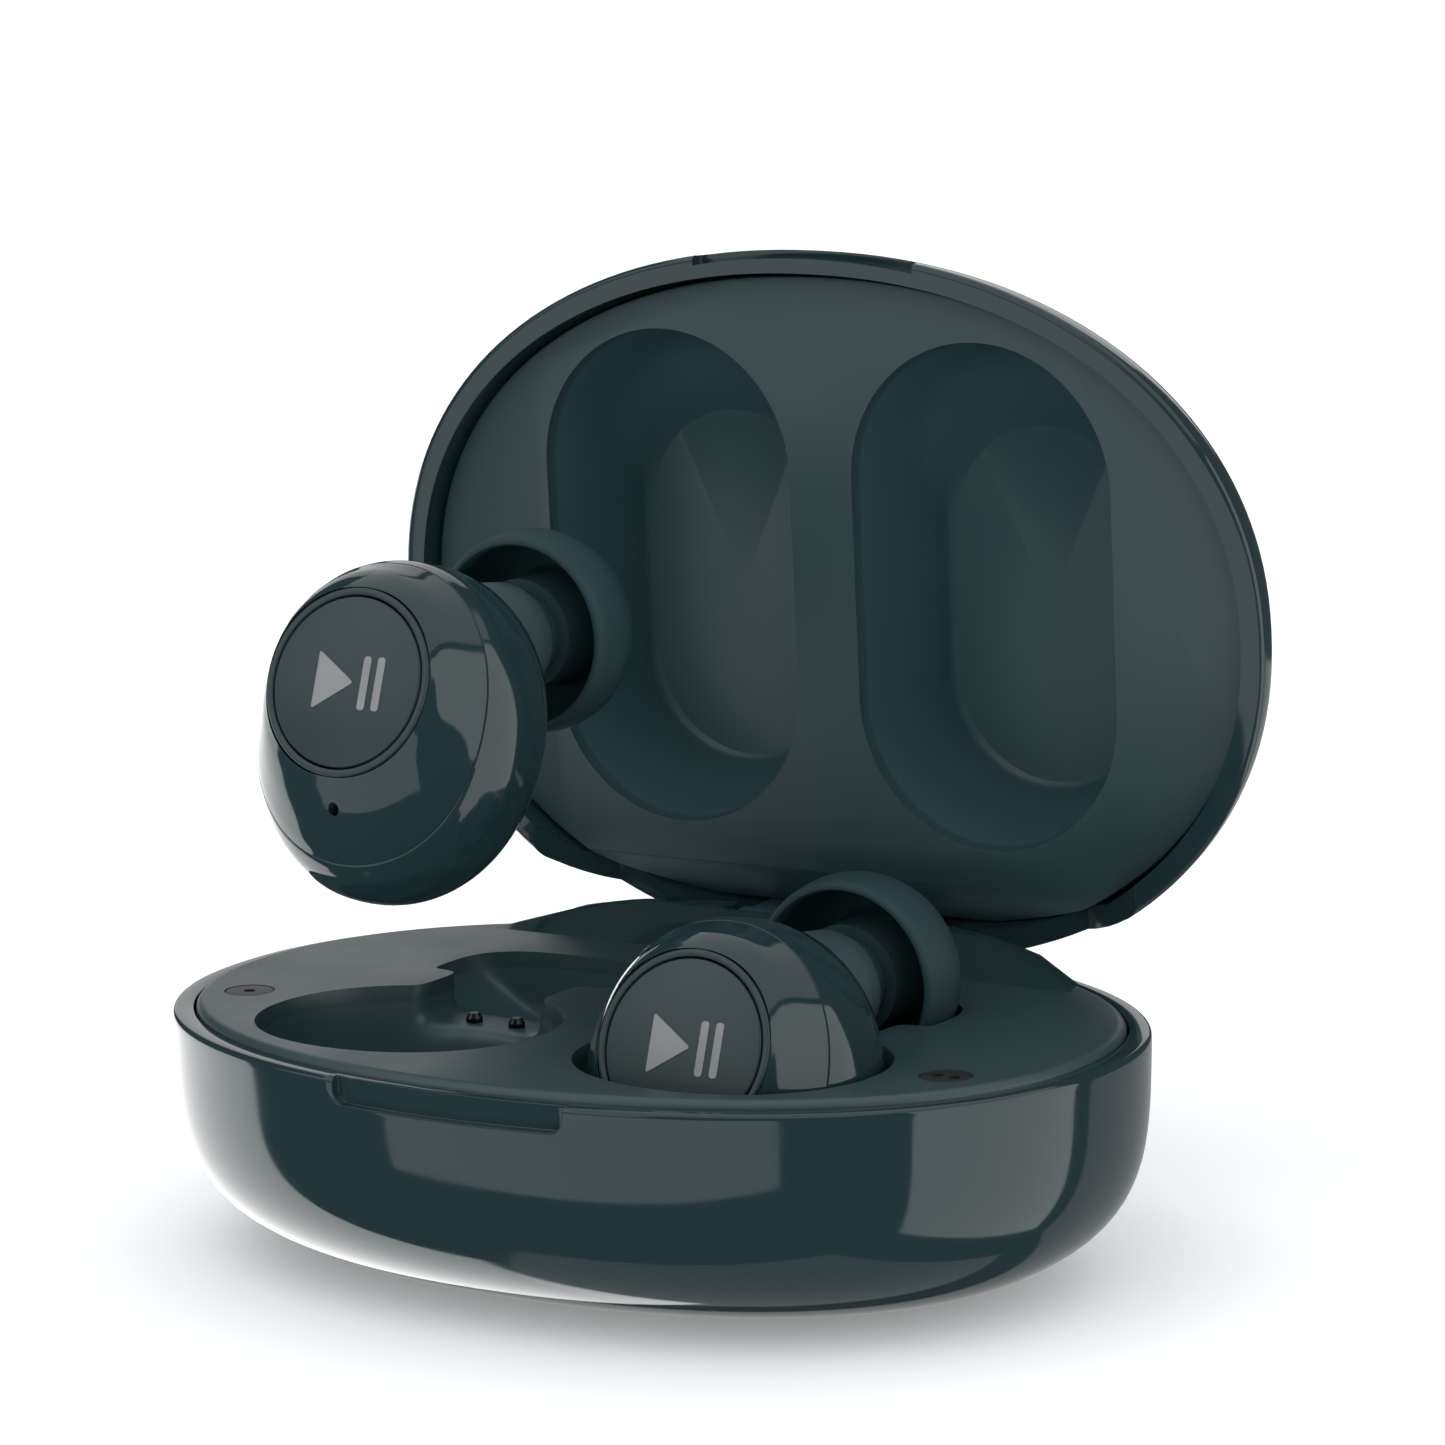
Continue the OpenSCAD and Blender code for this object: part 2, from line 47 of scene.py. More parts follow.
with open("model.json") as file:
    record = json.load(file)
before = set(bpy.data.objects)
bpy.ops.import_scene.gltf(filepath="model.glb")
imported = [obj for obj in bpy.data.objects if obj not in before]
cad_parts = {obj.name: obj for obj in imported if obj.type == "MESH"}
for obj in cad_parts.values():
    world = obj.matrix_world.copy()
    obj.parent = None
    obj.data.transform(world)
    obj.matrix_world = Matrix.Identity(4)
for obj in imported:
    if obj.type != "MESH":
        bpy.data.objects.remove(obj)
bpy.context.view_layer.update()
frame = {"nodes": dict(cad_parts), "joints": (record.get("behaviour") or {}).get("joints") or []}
MM = 0.001
SEGMENTS = 160
BUD_SEGMENTS = 96


def box_mid(node):
    """Middle of a CAD node's box."""
    low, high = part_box(node)
    return (Vector(low) + Vector(high)) / 2


BASE_LOW, BASE_HIGH = (Vector(v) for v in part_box("base_shell"))
HINGE = next(j for j in frame["joints"] if j["name"] == "lid_hinge")
HINGE_AT = Vector(HINGE["pos_m"])
OPEN_TURN = math.radians(HINGE["range_deg"][0])


# ---------------------------------------------------------------- settings


class CaseSizes(bpy.types.PropertyGroup):
    """Sizes of the case and the buds."""

    half_width: bpy.props.FloatProperty(
        name="Half width", description="Half the case width", unit="LENGTH",
        default=BASE_HIGH.x)
    half_depth: bpy.props.FloatProperty(
        name="Half depth", description="Half the case depth", unit="LENGTH",
        default=-BASE_LOW.y)
    roundness: bpy.props.FloatProperty(
        name="Roundness", description="Power of the plan outline, 2 is an ellipse",
        default=2.15)
    rim_height: bpy.props.FloatProperty(
        name="Rim height", description="Height of the base rim", unit="LENGTH",
        default=BASE_HIGH.z)
    lid_height: bpy.props.FloatProperty(
        name="Lid height", description="Height of the dome above the rim",
        unit="LENGTH", default=13.7 * MM)
    wall: bpy.props.FloatProperty(
        name="Wall", description="Thickness of the glossy shells", unit="LENGTH",
        default=1.2 * MM)
    rim_width: bpy.props.FloatProperty(
        name="Rim width", description="Width of the glossy rim", unit="LENGTH",
        default=1.3 * MM)
    tray_rise: bpy.props.FloatProperty(
        name="Tray rise", description="Tray face above the rim", unit="LENGTH",
        default=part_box("tray")[1][2] - BASE_HIGH.z)
    liner_set: bpy.props.FloatProperty(
        name="Liner set-back", description="Lid liner behind the lid rim",
        unit="LENGTH", default=1.4 * MM)
    bud_offset: bpy.props.FloatProperty(
        name="Bud offset", description="Half-distance between the buds",
        unit="LENGTH", default=box_mid("right_bezel_ring").x)
    face_tilt: bpy.props.FloatProperty(
        name="Face tilt", description="Upward tilt of the push face",
        subtype="ANGLE", default=math.radians(19.8))
    face_radius: bpy.props.FloatProperty(
        name="Face radius", description="Radius of the push face", unit="LENGTH",
        default=4.93 * MM)
    tip_radius: bpy.props.FloatProperty(
        name="Tip radius", description="Largest radius of the ear tip",
        unit="LENGTH", default=6.1 * MM)


def linear(text):
    """An sRGB hex colour as linear red, green, blue and alpha."""
    values = [int(text[i:i + 2], 16) / 255 for i in (1, 3, 5)]
    return [v / 12.92 if v <= 0.04045 else ((v + 0.055) / 1.055) ** 2.4
            for v in values] + [1.0]


def colour_property(name, description, text):
    """A colour setting whose default is an sRGB hex value."""
    return bpy.props.FloatVectorProperty(
        name=name, description=description, subtype="COLOR", size=4,
        min=0, max=1, default=linear(text))


class CaseColours(bpy.types.PropertyGroup):
    """Colours of the finishes."""

    gloss: colour_property("Gloss shell", "Polished black plastic", "#1e3235")
    satin: colour_property("Satin plastic", "Tray and lid liner", "#2a4347")
    neck: colour_property("Neck", "Moulded neck of the ear tips", "#2a4449")
    # The hollow colour is the satin plastic made lighter: painted light that lifts the shade in
    # the seats and pockets.
    hollow_painted_light: colour_property("Hollows", "Smoother plastic of the hollows", "#324f54")
    face: colour_property("Push face", "Satin face of the buds", "#213538")
    silicone: colour_property("Silicone", "Ear tips", "#243c40")
    print_ink: colour_property("Silver print", "Sign on the faces", "#8f9294")
    floor: colour_property("Floor", "Studio floor", "#f7fafc")


# ---------------------------------------------------------------- materials


def add(tree, kind, inputs=None, **settings):
    """Adds a node with its settings, and sets or links its inputs."""
    node = tree.nodes.new(kind)
    for key, value in settings.items():
        setattr(node, key, value)
    for socket, value in (inputs or {}).items():
        if isinstance(value, bpy.types.NodeSocket):
            tree.links.new(value, node.inputs[socket])
        else:
            node.inputs[socket].default_value = value
    return node


def per_mm(size):
    """Texture scale whose features are about size millimetres across."""
    return 1 / (size * MM)


def new_material(name):
    """A material with its tree, shader and object coordinates."""
    material = bpy.data.materials.new(name)
    material.use_nodes = True
    tree = material.node_tree
    place = add(tree, "ShaderNodeTexCoord")
    return material, tree, tree.nodes["Principled BSDF"], place.outputs["Object"]


def set_shader(shader, **values):
    """Sets the shader's own sockets, with _ for a space."""
    for key, value in values.items():
        shader.inputs[key.replace("_", " ")].default_value = value


def noise(tree, place, size, detail=2.0, roughness=0.5):
    """Noise with features about size millimetres across."""
    return add(tree, "ShaderNodeTexNoise", {
        "Vector": place, "Scale": per_mm(size), "Detail": detail,
        "Roughness": roughness}).outputs["Fac"]


def spread(tree, value, low, high, start=0.3, stop=0.7):
    """Maps a pattern to the range low to high."""
    return add(tree, "ShaderNodeMapRange", {
        "Value": value, "From Min": start, "From Max": stop,
        "To Min": low, "To Max": high}).outputs["Result"]


def shade(tree, factor, dark, light):
    """Mixes two linear colours by a pattern."""
    mix = add(tree, "ShaderNodeMix", {0: factor}, data_type="RGBA")
    mix.inputs[6].default_value = dark
    mix.inputs[7].default_value = light
    return mix.outputs[2]


def scaled(colour, factor):
    """A linear colour made darker or lighter."""
    return [min(1, v * factor) for v in colour[:3]] + [1.0]


def bump(tree, shader, height, depth, strength=1.0):
    """Raises the surface by a pattern, depth in millimetres."""
    node = add(tree, "ShaderNodeBump", {
        "Height": height, "Distance": depth * MM, "Strength": strength})
    tree.links.new(node.outputs["Normal"], shader.inputs["Normal"])


def polished_abs(name, colour):
    # Injection-moulded ABS from a mirror-polished tool: deep black, sharp
    # reflections with a very faint long ripple and light handling haze.
    material, tree, shader, place = new_material(name)
    set_shader(shader, IOR=1.5, Metallic=0.0)
    haze = noise(tree, place, 6, 4)
    tree.links.new(spread(tree, haze, 0.05, 0.1), shader.inputs["Roughness"])
    tree.links.new(shade(tree, noise(tree, place, 9), scaled(colour, 0.94),
                         scaled(colour, 1.06)), shader.inputs["Base Color"])
    bump(tree, shader, noise(tree, place, 2.5, 1), 0.0015, 0.35)
    return material


def satin_abs(name, colour, rough=0.42, grain=0.16, shine=0.5):
    # ABS moulded in a spark-eroded tool: fine even grain, soft sheen. The real
    # grain is about 0.03 mm; it is drawn coarser so that it shows.
    material, tree, shader, place = new_material(name)
    set_shader(shader, IOR=1.5, Metallic=0.0, Specular_IOR_Level=shine)
    fine = noise(tree, place, grain, 3, 0.6)
    cloud = noise(tree, place, 7, 3)
    tree.links.new(spread(tree, cloud, rough - 0.04, rough + 0.05),
                   shader.inputs["Roughness"])
    tree.links.new(shade(tree, fine, scaled(colour, 0.9), scaled(colour, 1.1)),
                   shader.inputs["Base Color"])
    bump(tree, shader, fine, 0.006, 0.5)
    return material


def moulded_silicone(name, colour):
    # Liquid silicone rubber from a matt tool: soft and slightly dusty.
    material, tree, shader, place = new_material(name)
    set_shader(shader, IOR=1.41, Metallic=0.0, Specular_IOR_Level=0.2)
    dust = noise(tree, place, 0.25, 4, 0.65)
    tree.links.new(spread(tree, dust, 0.55, 0.68), shader.inputs["Roughness"])
    tree.links.new(shade(tree, noise(tree, place, 3, 3), scaled(colour, 0.9),
                         scaled(colour, 1.15)), shader.inputs["Base Color"])
    bump(tree, shader, dust, 0.004, 0.4)
    return material


def silver_print(name, colour):
    # Pad-printed silver ink: flaky, half metallic, a little uneven.
    material, tree, shader, place = new_material(name)
    set_shader(shader, IOR=1.45, Metallic=0.55)
    flakes = noise(tree, place, 0.12, 2)
    band = noise(tree, place, 4.5, 1)
    tree.links.new(spread(tree, flakes, 0.3, 0.5), shader.inputs["Roughness"])
    tree.links.new(shade(tree, band, scaled(colour, 0.75), scaled(colour, 1.2)),
                   shader.inputs["Base Color"])
    bump(tree, shader, flakes, 0.003, 0.4)
    return material


def plated_metal(name, text, rough=0.22, brush=0.08):
    # Drawn or plated metal, with fine lines left by forming.
    material, tree, shader, place = new_material(name)
    set_shader(shader, Metallic=1.0)
    colour = linear(text)
    lines = noise(tree, place, brush, 3)
    tree.links.new(spread(tree, lines, rough - 0.07, rough + 0.1),
                   shader.inputs["Roughness"])
    tree.links.new(shade(tree, noise(tree, place, 1.5), scaled(colour, 0.9),
                         colour), shader.inputs["Base Color"])
    bump(tree, shader, lines, 0.002, 0.3)
    return material


def woven_mesh(name, text):
    # Plain-weave stainless mesh over the nozzle, 0.25 mm between wires.
    material, tree, shader, place = new_material(name)
    set_shader(shader, Metallic=1.0, Roughness=0.35)
    wires = [add(tree, "ShaderNodeTexWave", {
        "Vector": place, "Scale": per_mm(0.25) / 20}, bands_direction=axis
    ).outputs["Fac"] for axis in ("X", "Z")]
    weave = add(tree, "ShaderNodeMath", {0: wires[0], 1: wires[1]},
                operation="MAXIMUM").outputs[0]
    tree.links.new(shade(tree, weave, linear("#15191a"), linear(text)),
                   shader.inputs["Base Color"])
    bump(tree, shader, weave, 0.04)
    return material


def solder_mask(name, text):
    # Glass-fibre board under green solder mask: smooth with a faint weave.
    material, tree, shader, place = new_material(name)
    set_shader(shader, IOR=1.5, Roughness=0.3)
    weave = noise(tree, place, 0.4, 2)
    colour = linear(text)
    tree.links.new(shade(tree, weave, scaled(colour, 0.8), scaled(colour, 1.2)),
                   shader.inputs["Base Color"])
    bump(tree, shader, weave, 0.004)
    return material


# ---------------------------------------------------------------- mesh tools


def oval(half_x, half_y, power, z, y=0.0):
    """A rounded outline at height z: a function from turn to point."""
    def point(turn):
        c, s = math.cos(turn), math.sin(turn)
        return Vector((math.copysign(abs(c) ** (2 / power), c) * half_x,
                       math.copysign(abs(s) ** (2 / power), s) * half_y + y, z))
    return point


def slot_shape(radius, half, z, y=0.0):
    """A long rounded slot at height z: a function from turn to point."""
    def point(turn):
        c, s = math.cos(turn), math.sin(turn)
        return Vector((c * radius, s * radius + math.copysign(half, s) + y, z))
    return point


def grow_skin(shapes, segments=SEGMENTS, closed=False, caps=True):
    """Grows one ring from shape to shape; closed joins the last to the first."""
    bm = bmesh.new()
    turn = bm.verts.layers.float.new("turn")
    first = bmesh.ops.create_circle(bm, segments=segments, radius=1)["verts"]
    for vert in first:
        angle = math.atan2(vert.co.y, vert.co.x) % (2 * math.pi)
        vert[turn] = angle + math.pi / segments
        vert.co = shapes[0](vert[turn])
    edges = bm.edges[:]
    start = edges
    for shape in shapes[1:]:
        made = bmesh.ops.extrude_edge_only(bm, edges=edges)["geom"]
        edges = [g for g in made if isinstance(g, bmesh.types.BMEdge)
                 and g.is_boundary]
        for vert in made:
            if isinstance(vert, bmesh.types.BMVert):
                vert.co = shape(vert[turn])
    if closed:
        bmesh.ops.bridge_loops(bm, edges=start + edges)
    elif caps:
        for loop in (start, edges):
            made = bmesh.ops.contextual_create(bm, geom=loop)["faces"]
            bmesh.ops.poke(bm, faces=made)
    bmesh.ops.recalc_face_normals(bm, faces=bm.faces)
    return bm


def smooth_rows(rows, steps):
    """Rows of numbers with steps between each pair, on a smooth curve."""
    out = []
    for i in range(len(rows) - 1):
        a, b = rows[i], rows[i + 1]
        before = rows[i - 1] if i else [2 * p - q for p, q in zip(a, b)]
        after = rows[i + 2] if i + 2 < len(rows) else [
            2 * q - p for p, q in zip(a, b)]
        for k in range(steps):
            t = k / steps
            out.append([
                0.5 * (2 * q + (r - p) * t + (2 * p - 5 * q + 4 * r - s) * t * t
                       + (3 * q - p - 3 * r + s) * t ** 3)
                for p, q, r, s in zip(before, a, b, after)])
    return out + [list(rows[-1])]


def spin_profile(profile, segments=BUD_SEGMENTS):
    """A closed (radius, height) profile spun round the Z axis."""
    bm = bmesh.new()
    verts = [bm.verts.new((r, 0, z)) for r, z in profile]
    edges = [bm.edges.new((verts[i], verts[i - 1])) for i in range(len(verts))
             if profile[i][0] or profile[i - 1][0]]
    bmesh.ops.spin(bm, geom=verts + edges, cent=(0, 0, 0), axis=(0, 0, 1),
                   steps=segments, angle=2 * math.pi, use_merge=True,
                   use_duplicate=False)
    bmesh.ops.remove_doubles(bm, verts=bm.verts, dist=1e-7)
    bmesh.ops.recalc_face_normals(bm, faces=bm.faces)
    return bm


def bevelled(bm, edges, width, segments=3):
    """Rounds edges by width."""
    bmesh.ops.bevel(bm, geom=edges, offset=width, offset_type="OFFSET",
                    segments=segments, profile=0.5, affect="EDGES",
                    material=-1, clamp_overlap=True)


def sharp_edges(bm, degrees=35):
    """Edges whose faces meet at more than the angle."""
    limit = math.radians(degrees)
    return [e for e in bm.edges if len(e.link_faces) == 2
            and e.calc_face_angle(0) > limit]


def block(low, high, width=0.0):
    """A box between two corners, with rounded edges."""
    bm = bmesh.new()
    size = Vector(high) - Vector(low)
    mid = (Vector(high) + Vector(low)) / 2
    bmesh.ops.create_cube(bm, size=1, matrix=Matrix.Translation(mid)
                          @ Matrix.Diagonal((*size, 1)))
    if width:
        bevelled(bm, bm.edges[:], width)
    return bm


def swept(bm, reach):
    """Closes flat faces into solids by sweeping them by the reach vector."""
    made = bmesh.ops.extrude_face_region(bm, geom=bm.faces[:])["geom"]
    bmesh.ops.translate(bm, vec=reach, verts=[
        v for v in made if isinstance(v, bmesh.types.BMVert)])
    bmesh.ops.recalc_face_normals(bm, faces=bm.faces)
    return bm


def prism(points, reach):
    """A solid with the outline of points, swept by the reach vector."""
    bm = bmesh.new()
    bm.faces.new([bm.verts.new(p) for p in points])
    return swept(bm, reach)


def rod(radius, length, segments=96):
    """A solid cylinder along Z from the origin."""
    bm = bmesh.new()
    bmesh.ops.create_cone(bm, cap_ends=True, segments=segments, radius1=radius,
                          radius2=radius, depth=length,
                          matrix=Matrix.Translation((0, 0, length / 2)))
    return bm


def moved(bm, matrix):
    """Turns and moves a whole mesh."""
    bmesh.ops.transform(bm, matrix=matrix, verts=bm.verts)
    return bm


def as_object(bm, name):
    """Links a mesh as an object at the origin."""
    mesh = bpy.data.meshes.new(name)
    bm.to_mesh(mesh)
    bm.free()
    obj = bpy.data.objects.new(name, mesh)
    bpy.context.scene.collection.objects.link(obj)
    return obj


def carve(bm, tools, operation="DIFFERENCE"):
    """Cuts each tool mesh out of bm and returns the result."""
    for tool in tools:
        body, cutter = as_object(bm, "work"), as_object(tool, "tool")
        cut = body.modifiers.new("cut", "BOOLEAN")
        cut.operation = operation
        cut.solver = "MANIFOLD"
        cut.object = cutter
        bm = bmesh.new()
        bm.from_object(body, bpy.context.evaluated_depsgraph_get())
        for obj in (body, cutter):
            bpy.data.meshes.remove(obj.data)
        bmesh.ops.remove_doubles(bm, verts=bm.verts, dist=1e-7)
    return bm


def softened(bm, voxel, rounds):
    """Rounds the inner and outer edges of a closed mesh."""
    body = as_object(bm, "work")
    even = body.modifiers.new("even", "REMESH")
    even.mode = "VOXEL"
    even.voxel_size = voxel
    soft = body.modifiers.new("soft", "SMOOTH")
    soft.iterations = rounds
    done = bmesh.new()
    done.from_object(body, bpy.context.evaluated_depsgraph_get())
    bpy.data.meshes.remove(body.data)
    return done


def line_faces(bm, index, inside):
    """Gives a numbered material to the faces whose middle is inside."""
    for face in bm.faces:
        if inside(face.calc_center_median()):
            face.material_index = index


def finish_piece(bm, name, body, material, nodes=(), sharp=35):
    """Makes the finished piece: shading, finish, body and CAD nodes."""
    if not bm.faces:
        raise RuntimeError(f"{name} has no faces")
    obj = as_object(bm, name)
    mesh = obj.data
    mesh.polygons.foreach_set("use_smooth", [True] * len(mesh.polygons))
    mesh.set_sharp_from_angle(angle=math.radians(sharp))
    mesh.materials.append(material)
    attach(obj, body)
    if nodes:
        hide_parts(*nodes)
    return obj


def material(name):
    """A finish by name, made on first use."""
    made = bpy.data.materials.get(name)
    if made:
        return made
    colours = bpy.context.scene.case_colours
    makers = {
        "polished_black_abs": lambda n: polished_abs(n, colours.gloss),
        "satin_grey_abs": lambda n: satin_abs(n, colours.satin),
        # The hollows are really a little smoother; their lighter colour is painted light that
        # lifts the shade in them.
        "smooth_hollow_painted_light_abs": lambda n: satin_abs(n, colours.hollow_painted_light, 0.36, 0.2),
        "matt_ramp_abs": lambda n: satin_abs(n, colours.satin, 0.6, shine=0.1),
        "satin_face_abs": lambda n: satin_abs(n, colours.face, 0.38, 0.12),
        "matt_silicone": lambda n: moulded_silicone(n, colours.silicone),
        "pad_printed_silver": lambda n: silver_print(n, colours.print_ink),
        "drawn_steel": lambda n: plated_metal(n, "#a9adb0"),
        "nickel_plate": lambda n: plated_metal(n, "#c2c0b6", 0.15),
        "black_nickel": lambda n: plated_metal(n, "#3c4042", 0.3),
        "cell_foil": lambda n: plated_metal(n, "#b9bdc0", 0.35, 0.4),
        "woven_steel_mesh": lambda n: woven_mesh(n, "#9aa0a2"),
        "green_solder_mask": lambda n: solder_mask(n, "#1f5a3a"),
        "moulded_black_nylon": lambda n: satin_abs(n, linear("#1b2022"), 0.5),
        "moulded_neck_nylon": lambda n: satin_abs(n, colours.neck, 0.55),
    }
    return makers[name](name)


# ---------------------------------------------------------------- case shapes


def plan(inset, z):
    """The case outline, drawn in, at height z."""
    s = bpy.context.scene.case_sizes
    return oval(s.half_width - inset, s.half_depth - inset, s.roundness, z)


def base_inset(z):
    """How far the base skin draws in at height z, for its rounded bottom."""
    s = bpy.context.scene.case_sizes
    u = 1 - z / s.rim_height
    return (12.8 * (1 - math.sqrt(max(0, 1 - u ** 4.2))) + 0.3 * u) * MM


# Lid dome: height and inset of the side, in millimetres.
DOME_HEIGHT = 13.7
DOME = smooth_rows((
    (0, 0), (1.5, 0.25), (3, 0.84), (5, 2.12), (7, 3.5), (9, 5), (10.7, 6.6),
    (11.9, 8.5), (12.7, 11), (13.2, 14), (13.5, 18), (13.7, 26), (13.71, 29),
), 4)


def dome(row, skin):
    """The dome outline at a row of DOME, for a skin drawn in."""
    s = bpy.context.scene.case_sizes
    height, inset = row
    return oval(s.half_width - skin - inset * MM,
                s.half_depth - skin - 0.75 * inset * MM, s.roundness,
                s.rim_height + 0.1 * MM
                + height * (s.lid_height - skin) / DOME_HEIGHT)


def quarter(inset0, z0, radius, steps=6, up=True):
    """Insets and heights round a quarter circle at the rim's outer edge."""
    rise = radius if up else -radius
    turns = [math.pi / 2 * k / steps for k in range(steps + 1)]
    return [(inset0 + radius * (1 - math.cos(a)), z0 + rise * math.sin(a))
            for a in turns]


def lid_opened(bm):
    """Turns a piece drawn for the shut lid to the open lid."""
    turn = (Matrix.Translation(HINGE_AT)
            @ Matrix.Rotation(OPEN_TURN, 4, "X")
            @ Matrix.Translation(-HINGE_AT))
    return moved(bm, turn)


NOTCH_HALF = 7.6 * MM
NOTCH_DEPTH = 0.5 * MM
NOTCH_ARC = 45 * MM


def thumb_notch(height, rim):
    """Cutter for the shallow thumb recess at the front."""
    front = -bpy.context.scene.case_sizes.half_depth
    bm = block((-NOTCH_HALF, front - 2 * MM, rim - height),
               (NOTCH_HALF, front + 4 * MM, rim + height))
    corners = [e for e in bm.edges
               if abs((e.verts[0].co - e.verts[1].co).normalized().y) > 0.9]
    bevelled(bm, corners, 0.8 * MM, 6)
    keep = rod(NOTCH_ARC, 10 * MM, 360)
    moved(keep, Matrix.Translation(
        (0, front + NOTCH_DEPTH + NOTCH_ARC, rim - 5 * MM)))
    return carve(bm, [keep])


def soften_notch(bm):
    """Rounds the crisp edges that the thumb recess leaves."""
    front = 1.5 * MM - bpy.context.scene.case_sizes.half_depth
    edges = [e for e in sharp_edges(bm, 25) if all(
        v.co.y < front and abs(v.co.x) < NOTCH_HALF + 0.1 * MM
        and abs(v.co.z - BASE_HIGH.z) < 1.6 * MM for v in e.verts)]
    bevelled(bm, edges, 0.1 * MM, 2)
    return bm


def base_shell_mesh():
    """The closed skin of the base: outside, rim and inside in one run."""
    s = bpy.context.scene.case_sizes
    rim = s.rim_height
    heights = [rim * (1 - math.cos(math.pi / 2 * k / 26)) for k in range(26)]
    heights = [h for h in heights if h < rim - 0.9 * MM]
    shapes = [plan(base_inset(h), h) for h in heights]
    shapes += [plan(base_inset(rim - 0.6 * MM), rim - 0.6 * MM)]
    shapes += [plan(i, z) for i, z in quarter(
        0.02 * MM, rim - 0.35 * MM, 0.35 * MM)]
    shapes += [plan(s.rim_width - 0.12 * MM, rim),
               plan(s.rim_width - 0.03 * MM, rim - 0.04 * MM),
               plan(s.rim_width, rim - 0.14 * MM),
               plan(s.rim_width, rim - 0.3 * MM),
               plan(s.rim_width, rim - 1.6 * MM)]
    for h in reversed([h for h in heights if 1.5 * MM < h < rim - 2.5 * MM]):
        shapes.append(plan(base_inset(h) + s.wall, h))
    shapes.append(plan(base_inset(0.9 * MM) + s.wall + 0.6 * MM, s.wall))
    return grow_skin(shapes)


class CASE_OT_base_shell(bpy.types.Operator):
    """Makes the glossy base shell with its thumb notch, hinge gap and socket"""

    bl_idname = "case.base_shell"
    bl_label = "Base shell"

    def execute(self, context):
        s = context.scene.case_sizes
        gap = block((-11.2 * MM, 17.5 * MM, HINGE_AT.z - 1.9 * MM),
                    (11.2 * MM, 25 * MM, s.rim_height + MM))
        port = box_mid("usb_port")
        plug = grow_skin([slot_shape(1.75 * MM, 2.95 * MM, z * MM)
                          for z in (14, 30)], 64)
        moved(plug, Matrix.Translation((0, 0, port.z))
              @ Matrix.Rotation(math.radians(-90), 4, "X")
              @ Matrix.Rotation(math.radians(90), 4, "Z"))
        notch = thumb_notch(1.5 * MM, s.rim_height)
        bm = soften_notch(carve(base_shell_mesh(), [notch, gap, plug]))
        finish_piece(bm, "base_shell_skin", "base",
                     material("polished_black_abs"),
                     ["base_shell"])
        return {"FINISHED"}


# Hollow for a bud: height from the rim, front, rear and half width.
BOWL = (
    (1.6, -17.9, -0.5, 9.7), (0.6, -17.5, -0.9, 9.3), (0.2, -17.2, -1.2, 9.05),
    (-1.2, -17.0, -1.6, 8.97), (-4, -16.9, -2.0, 8.9), (-7, -16.5, -2.6, 8.45),
    (-9.5, -15.5, -4.3, 7), (-11.2, -14, -6.6, 4.5), (-11.9, -12.6, -8.2, 2.4),
)


def seat_tool(side, grow=0.0):
    """Hollow of a seat, for bud, neck and ear tip, or its grown outside."""
    s = bpy.context.scene.case_sizes
    rows = [r for r in smooth_rows(BOWL, 5) if not grow or r[0] < 0.1]
    rows[-1] = (rows[-1][0] - grow, *rows[-1][1:])
    bowl = grow_skin([
        oval((r[3] + grow) * MM, ((r[2] - r[1]) / 2 + grow) * MM, 2.1,
             s.rim_height + r[0] * MM, (r[1] + r[2]) / 2 * MM)
        for r in rows], BUD_SEGMENTS)
    pipe = rod(s.tip_radius + (0.45 + grow) * MM, 12 * MM, 128)
    moved(pipe, Matrix.Translation((0, (2.3 - grow) * MM,
                                    box_mid("right_ear_tip").z))
          @ Matrix.Rotation(math.radians(-90), 4, "X"))
    keep = grow_skin([oval((6.4 + grow) * MM, (5.7 + grow) * MM, 3, z * MM,
                           3.4 * MM) for z in (5, 30)], 96)
    trough = carve(pipe, [keep], "INTERSECT")
    half = (4.2 + grow) * MM
    neck = block((-half, -4 * MM, (12.35 - grow) * MM), (half, 3 * MM, 20 * MM))
    bm = carve(bowl, [trough, neck], "UNION")
    return moved(bm, Matrix.Translation((side * s.bud_offset, 0, 0)))


class CASE_OT_tray(bpy.types.Operator):
    """Makes the satin tray with its two bud seats"""

    bl_idname = "case.tray"
    bl_label = "Tray"

    def execute(self, context):
        s = context.scene.case_sizes
        top = s.rim_height + s.tray_rise
        edge = s.rim_width + 0.12 * MM
        r = 0.6 * MM
        shapes = [plan(edge + 0.9 * MM, top - MM),
                  plan(edge + 0.9 * MM, top - 1.9 * MM),
                  plan(edge, top - 1.9 * MM)]
        shapes += [plan(i, z) for i, z in quarter(edge, top - r, r, 8)]
        below = block((-s.half_width, -s.half_depth, 0),
                      (s.half_width, s.half_depth, top - 0.5 * MM))
        tools, cups = [], []
        for side, mark in ((-1, "mark_left"), (1, "mark_right")):
            cups.append(carve(seat_tool(side, 0.7), [below.copy()],
                              "INTERSECT"))
            tools.append(softened(seat_tool(side), 0.3 * MM, 24))
            middle = box_mid(mark)
            tools.append(moved(rod(1.5 * MM, 2 * MM, 64), Matrix.Translation(
                (middle.x, middle.y, top - 0.4 * MM))))
        below.free()
        tools.append(block((-11.25 * MM, 18 * MM, 9 * MM),
                           (11.25 * MM, 26 * MM, 20 * MM)))
        bm = carve(carve(grow_skin(shapes), cups, "UNION"), tools)
        # Faces in the seats take the second finish: smoother, with a lighter colour painted in
        # to lift the shade of the seats.
        line_faces(bm, 1, lambda at: at.z < top - 0.9 * MM)
        tray = finish_piece(bm, "tray_skin", "base", material("satin_grey_abs"),
                            ["tray"])
        tray.data.materials.append(material("smooth_hollow_painted_light_abs"))
        return {"FINISHED"}


